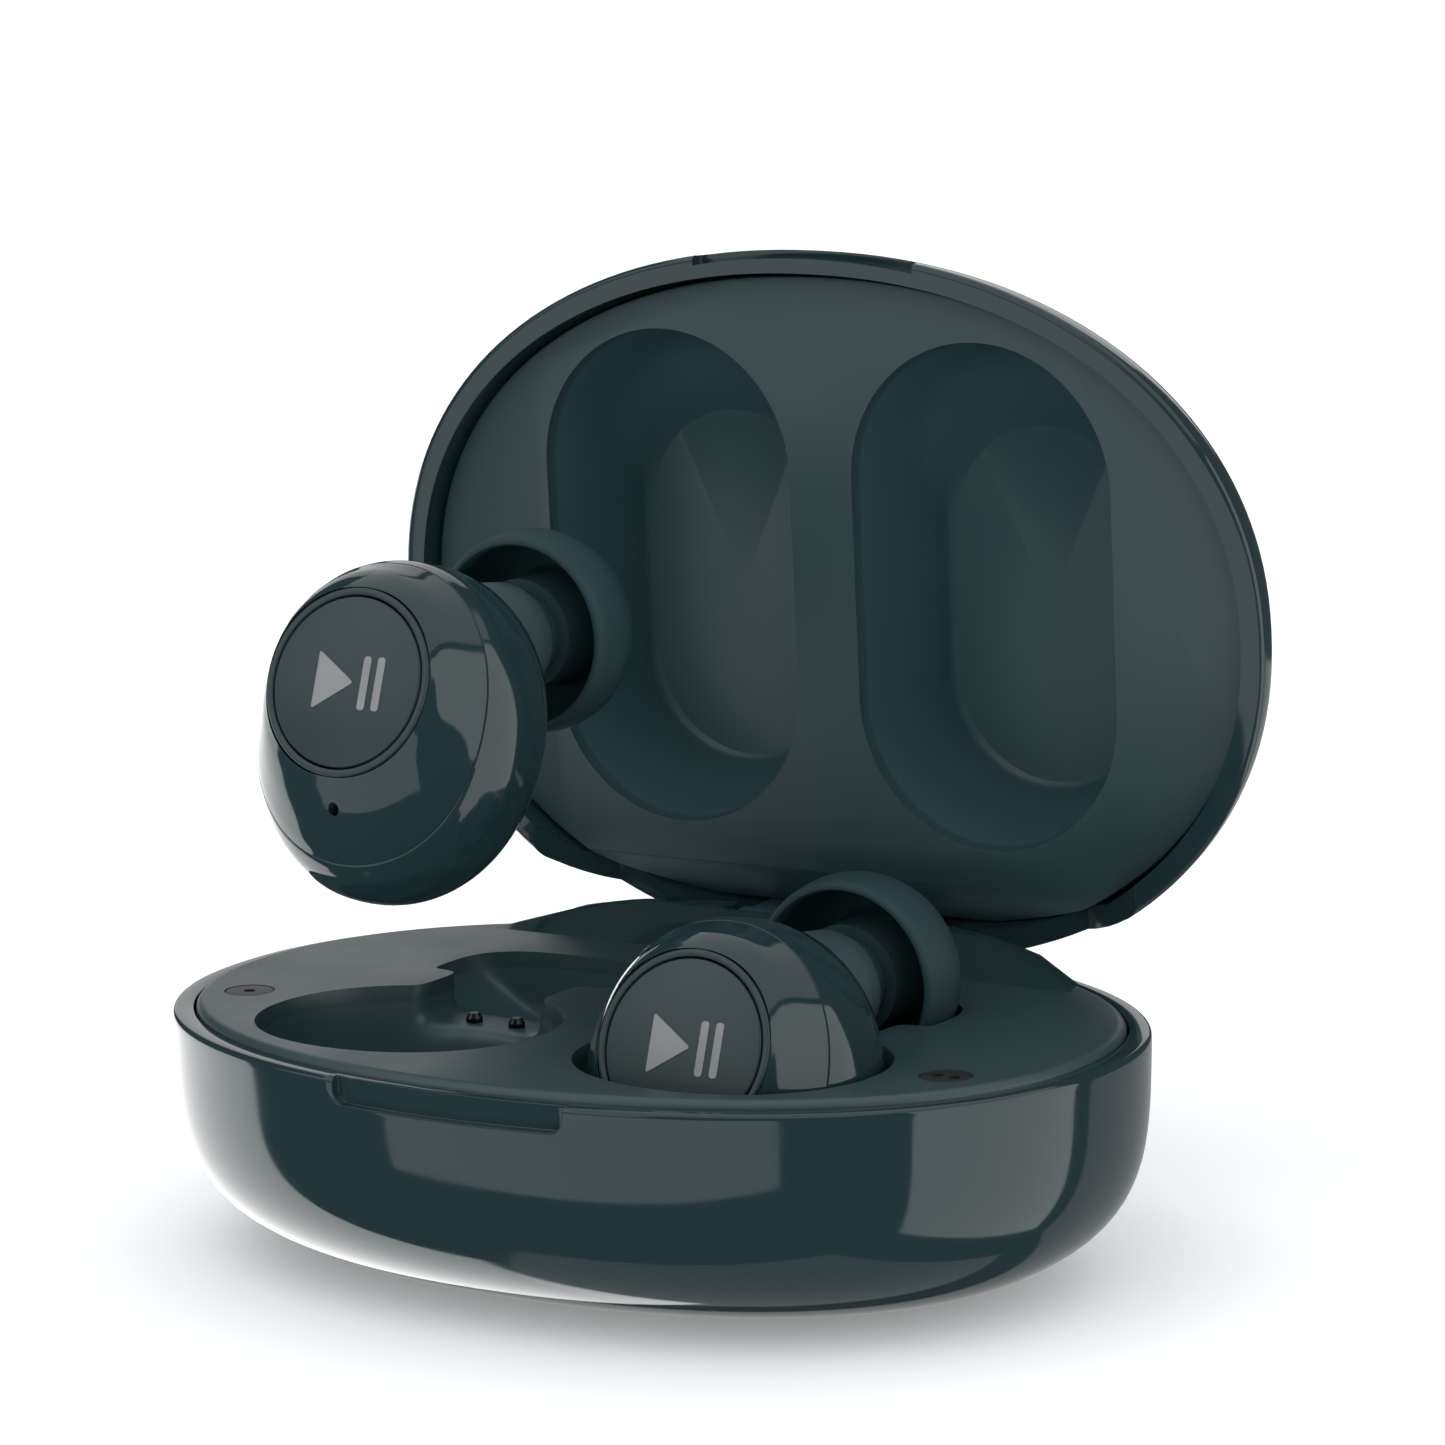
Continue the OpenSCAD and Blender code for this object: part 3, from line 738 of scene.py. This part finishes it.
class CASE_OT_hinge_mound(bpy.types.Operator):
    """Makes the low glossy mound that covers the hinge"""

    bl_idname = "case.hinge_mound"
    bl_label = "Hinge mound"

    def execute(self, context):
        s = context.scene.case_sizes
        top = s.rim_height + s.tray_rise
        levels = (
            (top, ((20.2, 13.6), (14, 15.1), (19.6, 15.8), (15.6, 19.1),
                   (8.5, 21.3), (0, 22.1))),
            (s.rim_height + 1.5 * MM, ((16, 17), (16, 17.8), (8.5, 20.8),
                                       (0, 17.5), (0, 21.6))),
            (s.rim_height + 2.05 * MM, ((12, 18.2), (12.6, 18.7), (8, 20.4),
                                        (0, 18.7), (0, 21.2))))
        bm = bmesh.new()
        for height, points in levels:
            for x, y in points:
                for turn in (-1, 1):
                    bm.verts.new((turn * x * MM, y * MM, height))
        bmesh.ops.remove_doubles(bm, verts=bm.verts, dist=1e-7)
        made = bmesh.ops.convex_hull(bm, input=bm.verts)
        inside = [v for v in made["geom_interior"]
                  if isinstance(v, bmesh.types.BMVert)]
        bmesh.ops.delete(bm, geom=inside, context="VERTS")
        bmesh.ops.dissolve_limit(bm, angle_limit=0.02, verts=bm.verts,
                                 edges=bm.edges)
        bmesh.ops.recalc_face_normals(bm, faces=bm.faces)
        crown = [e for e in bm.edges
                 if all(v.co.z > top + 0.5 * MM for v in e.verts)]
        bevelled(bm, crown, 0.7 * MM, 5)
        lower = grow_skin([plan(0.06 * MM, z) for z in (
            HINGE_AT.z - 1.8 * MM, s.rim_height - 0.1 * MM, top + 0.1 * MM)])
        keep = block((-11.1 * MM, 18.15 * MM, 0), (11.1 * MM, 25 * MM, 30 * MM))
        lower = carve(lower, [keep], "INTERSECT")
        bm = carve(bm, [lower], "UNION")
        slot = block((-6.4 * MM, 18.3 * MM, 5 * MM), (6.4 * MM, 25 * MM, 30 * MM))
        bore = rod(0.55 * MM, 40 * MM, 32)
        moved(bore, Matrix.Translation((-20 * MM, HINGE_AT.y, HINGE_AT.z))
              @ Matrix.Rotation(math.radians(90), 4, "Y"))
        bm = carve(bm, [slot, bore])
        finish_piece(bm, "hinge_mound", "base", material("polished_black_abs"),
                     ["hinge_cover"], 28)
        return {"FINISHED"}


class CASE_OT_seat_marks(bpy.types.Operator):
    """Makes the round seat marks, one dot on the left and two on the right"""

    bl_idname = "case.seat_marks"
    bl_label = "Seat marks"

    def execute(self, context):
        for name, dots in (("mark_left", 1), ("mark_right", 2)):
            low, high = (Vector(v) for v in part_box(name))
            mid = (low + high) / 2
            disc = rod(1.45 * MM, high.z - low.z, 64)
            bevelled(disc, sharp_edges(disc), 0.08 * MM, 3)
            moved(disc, Matrix.Translation((mid.x, mid.y, low.z)))
            tools = []
            for i in range(dots):
                dot = rod(0.36 * MM, MM, 32)
                x = mid.x + (i - (dots - 1) / 2) * 1.1 * MM
                tools.append(moved(dot, Matrix.Translation(
                    (x, mid.y, low.z + 0.2 * MM))))
            finish_piece(carve(disc, tools), name + "_disc", "base",
                         material("moulded_black_nylon"), [name])
        return {"FINISHED"}


def lid_cut():
    """Cutter for the gap in the lid's rear edge over the hinge mound."""
    rim = bpy.context.scene.case_sizes.rim_height
    right = [(21.4, -1), (21.4, 0.05), (19.6, 1.1), (16.6, 2.8)]
    outline = [(-x, z) for x, z in right] + right[::-1]
    return prism([(x * MM, 14 * MM, rim + z * MM) for x, z in outline],
                 (0, 12 * MM, 0))


class CASE_OT_lid_shell(bpy.types.Operator):
    """Makes the glossy lid dome with its rim, notch and hinge gap"""

    bl_idname = "case.lid_shell"
    bl_label = "Lid shell"

    def execute(self, context):
        s = context.scene.case_sizes
        rim = s.rim_height + 0.1 * MM
        inside = s.rim_width + 0.1 * MM
        shapes = [plan(inside, rim + 0.1 * MM), plan(inside + 0.1 * MM, rim)]
        shapes += [plan(i, z) for i, z in reversed(
            quarter(0.02 * MM, rim + 0.35 * MM, 0.35 * MM, 6, False))]
        shapes += [dome(row, 0) for row in DOME if row[0] > 0.4]
        core = grow_skin(
            [plan(inside, rim - 2 * MM), plan(inside, rim + 1.6 * MM)]
            + [dome(row, s.wall) for row in DOME
               if row[0] > 2.6 and row[1] <= 26])
        notch = thumb_notch(1.2 * MM, rim)
        bm = carve(grow_skin(shapes), [core, notch, lid_cut()])
        lid_opened(bm)
        finish_piece(bm, "lid_shell_skin", "lid", material("polished_black_abs"),
                     ["lid_shell"])
        return {"FINISHED"}


# Pocket of the lid: height from the rim, end radius, front and rear.
POCKET = (
    (0.6, 9, -17.3, 14.1), (1.4, 8.78, -17.05, 13.9), (2.2, 8.65, -16.9, 13.75),
    (6.4, 7.65, -15.6, 12.7), (8.6, 7.1, -12.7, 12.15), (9.6, 6.85, -11.2, 11.9),
    (10, 6.45, -10.6, 11.5),
)


def pocket_tool(side, grow=0.0):
    """Long pocket in the lid liner, or its grown outside."""
    s = bpy.context.scene.case_sizes
    rows = [r for r in smooth_rows(POCKET, 4) if not grow or r[0] > 1.7]
    rows[-1] = (rows[-1][0] + grow, *rows[-1][1:])
    bm = grow_skin([
        slot_shape((r[1] + grow) * MM, ((r[3] - r[2]) / 2 - r[1]) * MM,
                   s.rim_height + r[0] * MM, (r[2] + r[3]) / 2 * MM)
        for r in rows], BUD_SEGMENTS)
    return moved(bm, Matrix.Translation((side * s.bud_offset, 0, 0)))


RAMP_Y = 16.3  # where the liner's hinge ramp starts, in millimetres


class CASE_OT_lid_liner(bpy.types.Operator):
    """Makes the satin lid liner with its two pockets and the hinge ramp"""

    bl_idname = "case.lid_liner"
    bl_label = "Lid liner"

    def execute(self, context):
        s = context.scene.case_sizes
        z0 = s.rim_height + s.liner_set
        edge = s.rim_width + 0.45 * MM
        shapes = [plan(edge + 0.25 * MM, z0),
                  plan(edge + 0.07 * MM, z0 + 0.07 * MM),
                  plan(edge, z0 + 0.25 * MM), plan(edge, z0 + 0.8 * MM)]
        shapes += [dome(row, s.wall + 0.2 * MM) for row in DOME if 3 < row[0] < 6]
        plate = prism([(-40 * MM, y * MM, z0 + z * MM) for y, z in (
            (-25, 0), (RAMP_Y, 0), (18.9, 2.1), (18.9, 2.9), (16, 0.8),
            (-25, 0.8))], (80 * MM, 0, 0))
        bm = carve(grow_skin(shapes), [plate], "INTERSECT")
        bm = carve(bm, [pocket_tool(side, 0.6) for side in (-1, 1)], "UNION")
        bm = carve(bm, [pocket_tool(side) for side in (-1, 1)])
        # Faces in the pockets take the lighter hollow finish, painted light that lifts the shade
        # of the pockets.
        line_faces(bm, 1, lambda at: at.z > z0 + 0.9 * MM)
        line_faces(bm, 2, lambda at: at.y > RAMP_Y * MM)
        lid_opened(bm)
        liner = finish_piece(bm, "lid_liner_skin", "lid",
                             material("satin_grey_abs"),
                             ["lid_liner"])
        liner.data.materials.append(material("smooth_hollow_painted_light_abs"))
        liner.data.materials.append(material("matt_ramp_abs"))
        return {"FINISHED"}


# ---------------------------------------------------------------- bud shapes

# Along the face axis and up the face, in millimetres from the bud's middle.
FACE_S = 5.97
FACE_V = 1.58
SEAM_S = 3.15
# Skins of a bud: place along the axis, half width, half height, rise.
FRONT = (
    (3.2, 7.75, 8.75, 0.28), (3.8, 7.3, 8.25, 0.48), (4.8, 6.5, 7.3, 0.93),
    (5.5, 5.95, 6.35, 1.3), (5.85, 5.62, 5.74, 1.52), (5.97, 5.5, 5.5, 1.58),
)
REAR = (
    (3.1, 7.82, 8.84, 0.25), (2.2, 8.22, 9.4, 0), (1.2, 8.5, 9.75, -0.18),
    (0.2, 8.6, 9.9, -0.25), (-1.4, 8.5, 9.8, -0.25), (-3, 8.0, 9.2, -0.15),
    (-4.4, 7.0, 8.0, 0.1), (-5.5, 5.5, 6.4, 0.3), (-6.1, 4, 4.8, 0.4),
    (-6.28, 2.4, 3, 0.5), (-6.3, 0.1, 0.12, 0.6),
)

# Neck and nozzle: radius, and distance behind the ear tip's mouth.
NECK = (
    (0, -8.3), (3.75, -8.3), (3.6, -3), (3.4, -1.4), (3.3, -1.2), (3.1, -1.1),
    (2.62, -1.1), (2.6, -1.0), (2.6, 3.9), (2.5, 4.1), (0, 4.1),
)


def bud_place(side):
    """Matrix of the tilted face frame: Z along the face axis, Y up the face."""
    s = bpy.context.scene.case_sizes
    turn = Matrix.Rotation(math.radians(90) - s.face_tilt, 4, "X")
    ring = box_mid(f"{side}_bezel_ring")
    return (Matrix.Translation(ring) @ turn
            @ Matrix.Translation((0, -FACE_V * MM, -(FACE_S - 0.4) * MM)))


def nozzle_place(side):
    """Matrix of the level nozzle frame: Z runs back from the ear tip's mouth."""
    low, high = (Vector(v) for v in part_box(f"{side}_ear_tip"))
    mid = (low + high) / 2
    return (Matrix.Translation((mid.x, low.y, mid.z))
            @ Matrix.Rotation(math.radians(-90), 4, "X"))


def bud_rings(rows, steps=4, shrink=0.0):
    """Rings of a bud shell from its rows of place, half-axes and rise."""
    return [oval((r[1] - shrink) * MM, (r[2] - shrink) * MM, 2.1, r[0] * MM,
                 r[3] * MM) for r in smooth_rows(rows, steps)]


class CASE_OT_bud_shells(bpy.types.Operator):
    """Makes the glossy front and rear shells of both buds"""

    bl_idname = "case.bud_shells"
    bl_label = "Bud shells"

    def execute(self, context):
        for side in ("left", "right"):
            place = bud_place(side)
            self.front(side, place)
            self.rear(side, place)
        return {"FINISHED"}

    def front(self, side, place):
        """Front shell, open at the face, with its microphone hole."""
        lip = bud_rings([(SEAM_S + 0.01, *FRONT[0][1:])], shrink=0.08)
        inside = [oval(5.5 * MM, 5.5 * MM, 2.0, 5.0 * MM, FACE_V * MM)]
        wall = [oval((r[1] - 0.9) * MM, (r[2] - 0.9) * MM, 2.1,
                     (r[0] - 0.7) * MM, r[3] * MM)
                for r in reversed(smooth_rows(FRONT[:4], 3))
                if r[0] - 0.7 > SEAM_S + 0.1]
        end = bud_rings([(SEAM_S + 0.01, *FRONT[0][1:])], shrink=0.95)
        bm = grow_skin(lip + bud_rings(FRONT) + inside + wall + end,
                       BUD_SEGMENTS, True)
        hole = rod(0.36 * MM, 10 * MM, 32)
        moved(hole, Matrix.Translation((0, -5.6 * MM, 0)))
        bm = carve(bm, [hole])
        moved(bm, place)
        finish_piece(bm, f"{side}_front_skin", f"bud_{side}",
                     material("polished_black_abs"),
                     [f"{side}_front_shell"])

    def rear(self, side, place):
        """Rear shell, and the dull neck with the nozzle."""
        lip = bud_rings([(SEAM_S - 0.01, *REAR[0][1:])], shrink=0.08)
        bm = grow_skin(lip + bud_rings(REAR), BUD_SEGMENTS)
        moved(bm, place)
        neck = spin_profile([(r * MM, z * MM) for r, z in NECK], 64)
        moved(neck, nozzle_place(side))
        finish_piece(neck, f"{side}_neck", f"bud_{side}",
                     material("moulded_neck_nylon"))
        finish_piece(bm, f"{side}_rear_skin", f"bud_{side}",
                     material("polished_black_abs"),
                     [f"{side}_rear_shell"])


class CASE_OT_bud_faces(bpy.types.Operator):
    """Makes the bezel ring, push face and printed sign of both buds"""

    bl_idname = "case.bud_faces"
    bl_label = "Bud faces"

    def execute(self, context):
        s = context.scene.case_sizes
        r = s.face_radius / MM
        for side in ("left", "right"):
            place = bud_place(side) @ Matrix.Translation((0, FACE_V * MM, 0))
            top = FACE_S + 0.1
            ring = ((5.46, 5.07), (5.46, top - 0.12), (5.42, top - 0.03),
                    (5.32, top), (r + 0.2, top), (r + 0.13, top - 0.03),
                    (r + 0.1, top - 0.1), (r + 0.1, 5.07))
            self.turned(ring, f"{side}_bezel", f"bud_{side}", place,
                        [f"{side}_bezel_ring"], "satin_liner")
            cap = ((0, 5.22), (r, 5.22), (r, top - 0.1), (r - 0.03, top - 0.03),
                   (r - 0.1, top), (0, top))
            self.turned(cap, f"{side}_push_face", f"button_{side}", place,
                        [f"{side}_button"], "satin_button")
            self.sign(side, place @ Matrix.Translation((0, 0, top * MM)))
        return {"FINISHED"}

    def turned(self, profile, name, body, place, nodes, slot):
        """One round piece, spun from its profile."""
        bm = spin_profile([(p * MM, z * MM) for p, z in profile])
        moved(bm, place)
        finish_piece(bm, name, body, material("satin_face_abs"), nodes, 50)

    def sign(self, side, place):
        """Generic play and pause sign, a thin rounded print."""
        bm = bmesh.new()
        outlines = [[(-2.1, -1.7), (-2.1, 1.7), (0.5, 0)]]
        outlines += [[(x, -1.55), (x + 0.5, -1.55), (x + 0.5, 1.55), (x, 1.55)]
                     for x in (1.0, 1.95)]
        for points in outlines:
            bm.faces.new([bm.verts.new((x * MM, y * MM, 0)) for x, y in points])
        bmesh.ops.bevel(bm, geom=bm.verts[:], offset=0.2 * MM,
                        offset_type="OFFSET", segments=6, profile=0.5,
                        affect="VERTICES", material=-1, clamp_overlap=True)
        moved(swept(bm, (0, 0, 0.04 * MM)), place)
        finish_piece(bm, f"{side}_sign", f"button_{side}",
                     material("pad_printed_silver"),
                     [f"{side}_button_mark"])


class CASE_OT_ear_tips(bpy.types.Operator):
    """Makes the silicone ear tips"""

    bl_idname = "case.ear_tips"
    bl_label = "Ear tips"

    def execute(self, context):
        r = context.scene.case_sizes.tip_radius / MM
        outer = ((r - 0.62, 0), (r - 0.4, 0.05), (r - 0.15, 0.5), (r, 1.9),
                 (r - 0.05, 2.8), (r - 0.3, 3.7), (5.3, 4.55), (4.4, 5.2),
                 (3.2, 5.55), (2.2, 5.6))
        inner = ((1.9, 5.45), (1.9, 4.7), (2.62, 4.4), (2.62, 0.6), (3.3, 0.6),
                 (3.35, 4.1), (3.7, 4.5), (4.5, 4.25), (r - 1.2, 3.6),
                 (r - 0.75, 2.8), (r - 0.7, 1.6), (r - 0.75, 0.15))
        profile = smooth_rows(outer, 4) + [list(p) for p in inner]
        for side in ("left", "right"):
            bm = spin_profile([(p * MM, z * MM) for p, z in profile])
            moved(bm, nozzle_place(side))
            finish_piece(bm, f"{side}_silicone_tip", f"bud_{side}",
                         material("matt_silicone"),
                         [f"{side}_ear_tip"], 50)
        return {"FINISHED"}


FINISHES = {
    "drawn_steel": ("hinge_pin", "usb_port", "left_switch", "right_switch"),
    "nickel_plate": ("seat_magnet_left", "seat_magnet_right",
                     "latch_magnet_base", "latch_magnet_lid", "hall_magnet",
                     "left_magnet", "right_magnet"),
    "black_nickel": ("pin_left_a", "pin_left_b", "pin_right_a", "pin_right_b",
                     "left_charge_pads", "right_charge_pads"),
    "cell_foil": ("case_battery", "left_battery", "right_battery"),
    "woven_steel_mesh": ("left_nozzle_mesh", "right_nozzle_mesh"),
    "green_solder_mask": ("main_board", "left_board", "right_board"),
    "moulded_black_nylon": ("usb_tongue", "pin_block_left", "pin_block_right",
                            "hall_sensor", "left_driver", "right_driver",
                            "left_microphone", "right_microphone"),
    "satin_grey_abs": ("lid_hinge_arm",),
}


class CASE_OT_small_parts(bpy.types.Operator):
    """Gives the CAD parts that stay their finishes"""

    bl_idname = "case.small_parts"
    bl_label = "Small parts"

    def execute(self, context):
        for finish, nodes in FINISHES.items():
            for node in nodes:
                for slot in frame["nodes"][node].material_slots:
                    slot.material = material(finish)
        return {"FINISHED"}


# ---------------------------------------------------------------- stage


def look_from(eye, target):
    """Matrix of a lamp at eye that faces the target."""
    turn = (Vector(target) - Vector(eye)).to_track_quat("-Z", "Y")
    return Matrix.Translation(eye) @ turn.to_matrix().to_4x4()


# Upright reflector cards, one metre away: name, bearing from the front,
# lowest and highest angle, half width in degrees, brightness.
CARDS = (
    ("left_card", -107, -62, 2, 32, 2.3),
    ("front_card", -7, -25, 4, 36, 1.0),
    ("front_top_card", -35, 16, 46, 34, 1.0),
    ("right_card", 98, -44, 42, 33, 1.6),
    ("back_card", 180, -48, -8, 40, 0.35),
    ("back_left_top_card", -150, 6, 40, 22, 0.8),
)


# Camera: bearing, height and roll in degrees, then metres to the side, up and
# back from the middle of the rim.
VIEW_TURNS = (31.42, 10.16, -1.13)
VIEW_SHIFT = (0.0040, 0.01685, 0.32414)
SENSOR_MM = 36
LENS_MM = 138.4567474


class CASE_OT_stage(bpy.types.Operator):
    """Sets the pale floor, the soft studio lamps and the camera"""

    bl_idname = "case.stage"
    bl_label = "Stage"

    def execute(self, context):
        self.floor(context)
        self.lamps(context)
        self.camera(context)
        return {"FINISHED"}

    def floor(self, context):
        """Wide pale floor under the case."""
        bm = bmesh.new()
        bmesh.ops.create_grid(bm, x_segments=1, y_segments=1, size=4)
        floor = as_object(bm, "studio_floor")
        finish, _, shader, _ = new_material("pale_studio_floor")
        set_shader(shader, Base_Color=context.scene.case_colours.floor,
                   Roughness=0.9, Emission_Color=linear("#ffffff"),
                   Emission_Strength=0.22)
        floor.data.materials.append(finish)
        floor.visible_glossy = False
        floor.visible_shadow = False

    def lamps(self, context):
        """An even white studio, a soft key lamp and reflector cards."""
        key = self.card("soft_key", (-0.5, -0.6, 1.6), (1.2, 1.2), 0.5)
        key.visible_glossy = False
        for name, azimuth, low, high, half, strength in CARDS:
            turn = math.radians(azimuth)
            low, high = (math.tan(math.radians(v)) for v in (low, high))
            eye = (math.sin(turn), -math.cos(turn), (low + high) / 2)
            card = self.card(name, eye, (2 * math.tan(math.radians(half)),
                                         high - low), strength, level=True)
            card.visible_diffuse = False
        for name, height, size, strength in (("ceiling", 1, 1.9, 0.85),
                                             ("under", -1, 1.1, 0.4)):
            card = self.card(name, (0, 0, height), (size, size), strength)
            card.visible_diffuse = False
        world = bpy.data.worlds.new("studio_surround")
        world.use_nodes = True
        tree = world.node_tree
        path = add(tree, "ShaderNodeLightPath").outputs["Is Glossy Ray"]
        strength = add(tree, "ShaderNodeMath", {0: path, 1: -0.94, 2: 1.0},
                       operation="MULTIPLY_ADD").outputs[0]
        sky = tree.nodes["Background"]
        sky.inputs["Color"].default_value = linear("#fdfeff")
        tree.links.new(strength, sky.inputs["Strength"])
        context.scene.world = world
        context.scene.view_settings.view_transform = "Standard"

    def card(self, name, eye, size, radiance, level=False):
        """A soft rectangle that faces the case with the given brightness."""
        lamp = bpy.data.lights.new(name, "AREA")
        lamp.shape = "RECTANGLE"
        lamp.size, lamp.size_y = size
        lamp.energy = radiance * math.pi * size[0] * size[1]
        obj = bpy.data.objects.new(name, lamp)
        obj.matrix_world = look_from(eye, (0, 0, eye[2] if level else 0.02))
        obj.visible_camera = False
        bpy.context.scene.collection.objects.link(obj)
        return obj

    def camera(self, context):
        """Camera to the front right, a little above the case."""
        azimuth, height, roll = (math.radians(v) for v in VIEW_TURNS)
        right = Vector((math.cos(azimuth), math.sin(azimuth), 0))
        back = Vector((math.sin(azimuth) * math.cos(height),
                       -math.cos(azimuth) * math.cos(height), math.sin(height)))
        up = back.cross(right)
        side = math.cos(roll) * right + math.sin(roll) * up
        over = math.cos(roll) * up - math.sin(roll) * right
        rim = Vector((0, 0, context.scene.case_sizes.rim_height))
        eye = rim + sum((axis * shift for axis, shift in zip(
            (side, over, back), VIEW_SHIFT)), Vector())
        turn = Matrix((side, over, back)).transposed().to_4x4()
        lens = bpy.data.cameras.new("studio_camera")
        lens.sensor_width = SENSOR_MM
        lens.lens = LENS_MM
        lens.clip_start = 0.01
        lens.clip_end = 20
        camera = bpy.data.objects.new("studio_camera", lens)
        camera.matrix_world = Matrix.Translation(eye) @ turn
        context.scene.collection.objects.link(camera)
        context.scene.camera = camera


# ---------------------------------------------------------------- add-on

STEPS = (
    CASE_OT_base_shell, CASE_OT_tray, CASE_OT_hinge_mound, CASE_OT_seat_marks,
    CASE_OT_lid_shell, CASE_OT_lid_liner, CASE_OT_bud_shells,
    CASE_OT_bud_faces, CASE_OT_ear_tips, CASE_OT_small_parts, CASE_OT_stage,
)


class CASE_PT_panel(bpy.types.Panel):
    """Lists the pieces of the case in the 3D view's sidebar"""

    bl_label = "Earbuds Case"
    bl_idname = "CASE_PT_panel"
    bl_space_type = "VIEW_3D"
    bl_region_type = "UI"
    bl_category = "Earbuds Case"

    def draw(self, context):
        for step in STEPS:
            self.layout.operator(step.bl_idname)
        for name in CaseSizes.__annotations__:
            self.layout.prop(context.scene.case_sizes, name)
        for name in CaseColours.__annotations__:
            self.layout.prop(context.scene.case_colours, name)


CLASSES = (CaseSizes, CaseColours, *STEPS, CASE_PT_panel)


def register():
    """Registers the classes and the scene's settings."""
    for cls in CLASSES:
        bpy.utils.register_class(cls)
    bpy.types.Scene.case_sizes = bpy.props.PointerProperty(type=CaseSizes)
    bpy.types.Scene.case_colours = bpy.props.PointerProperty(type=CaseColours)


def unregister():
    """Removes the settings and the classes."""
    del bpy.types.Scene.case_colours
    del bpy.types.Scene.case_sizes
    for cls in reversed(CLASSES):
        bpy.utils.unregister_class(cls)


def main():
    """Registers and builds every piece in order."""
    register()
    for step in STEPS:
        group, name = step.bl_idname.split(".")
        getattr(getattr(bpy.ops, group), name)()


if __name__ == "__main__":
    main()
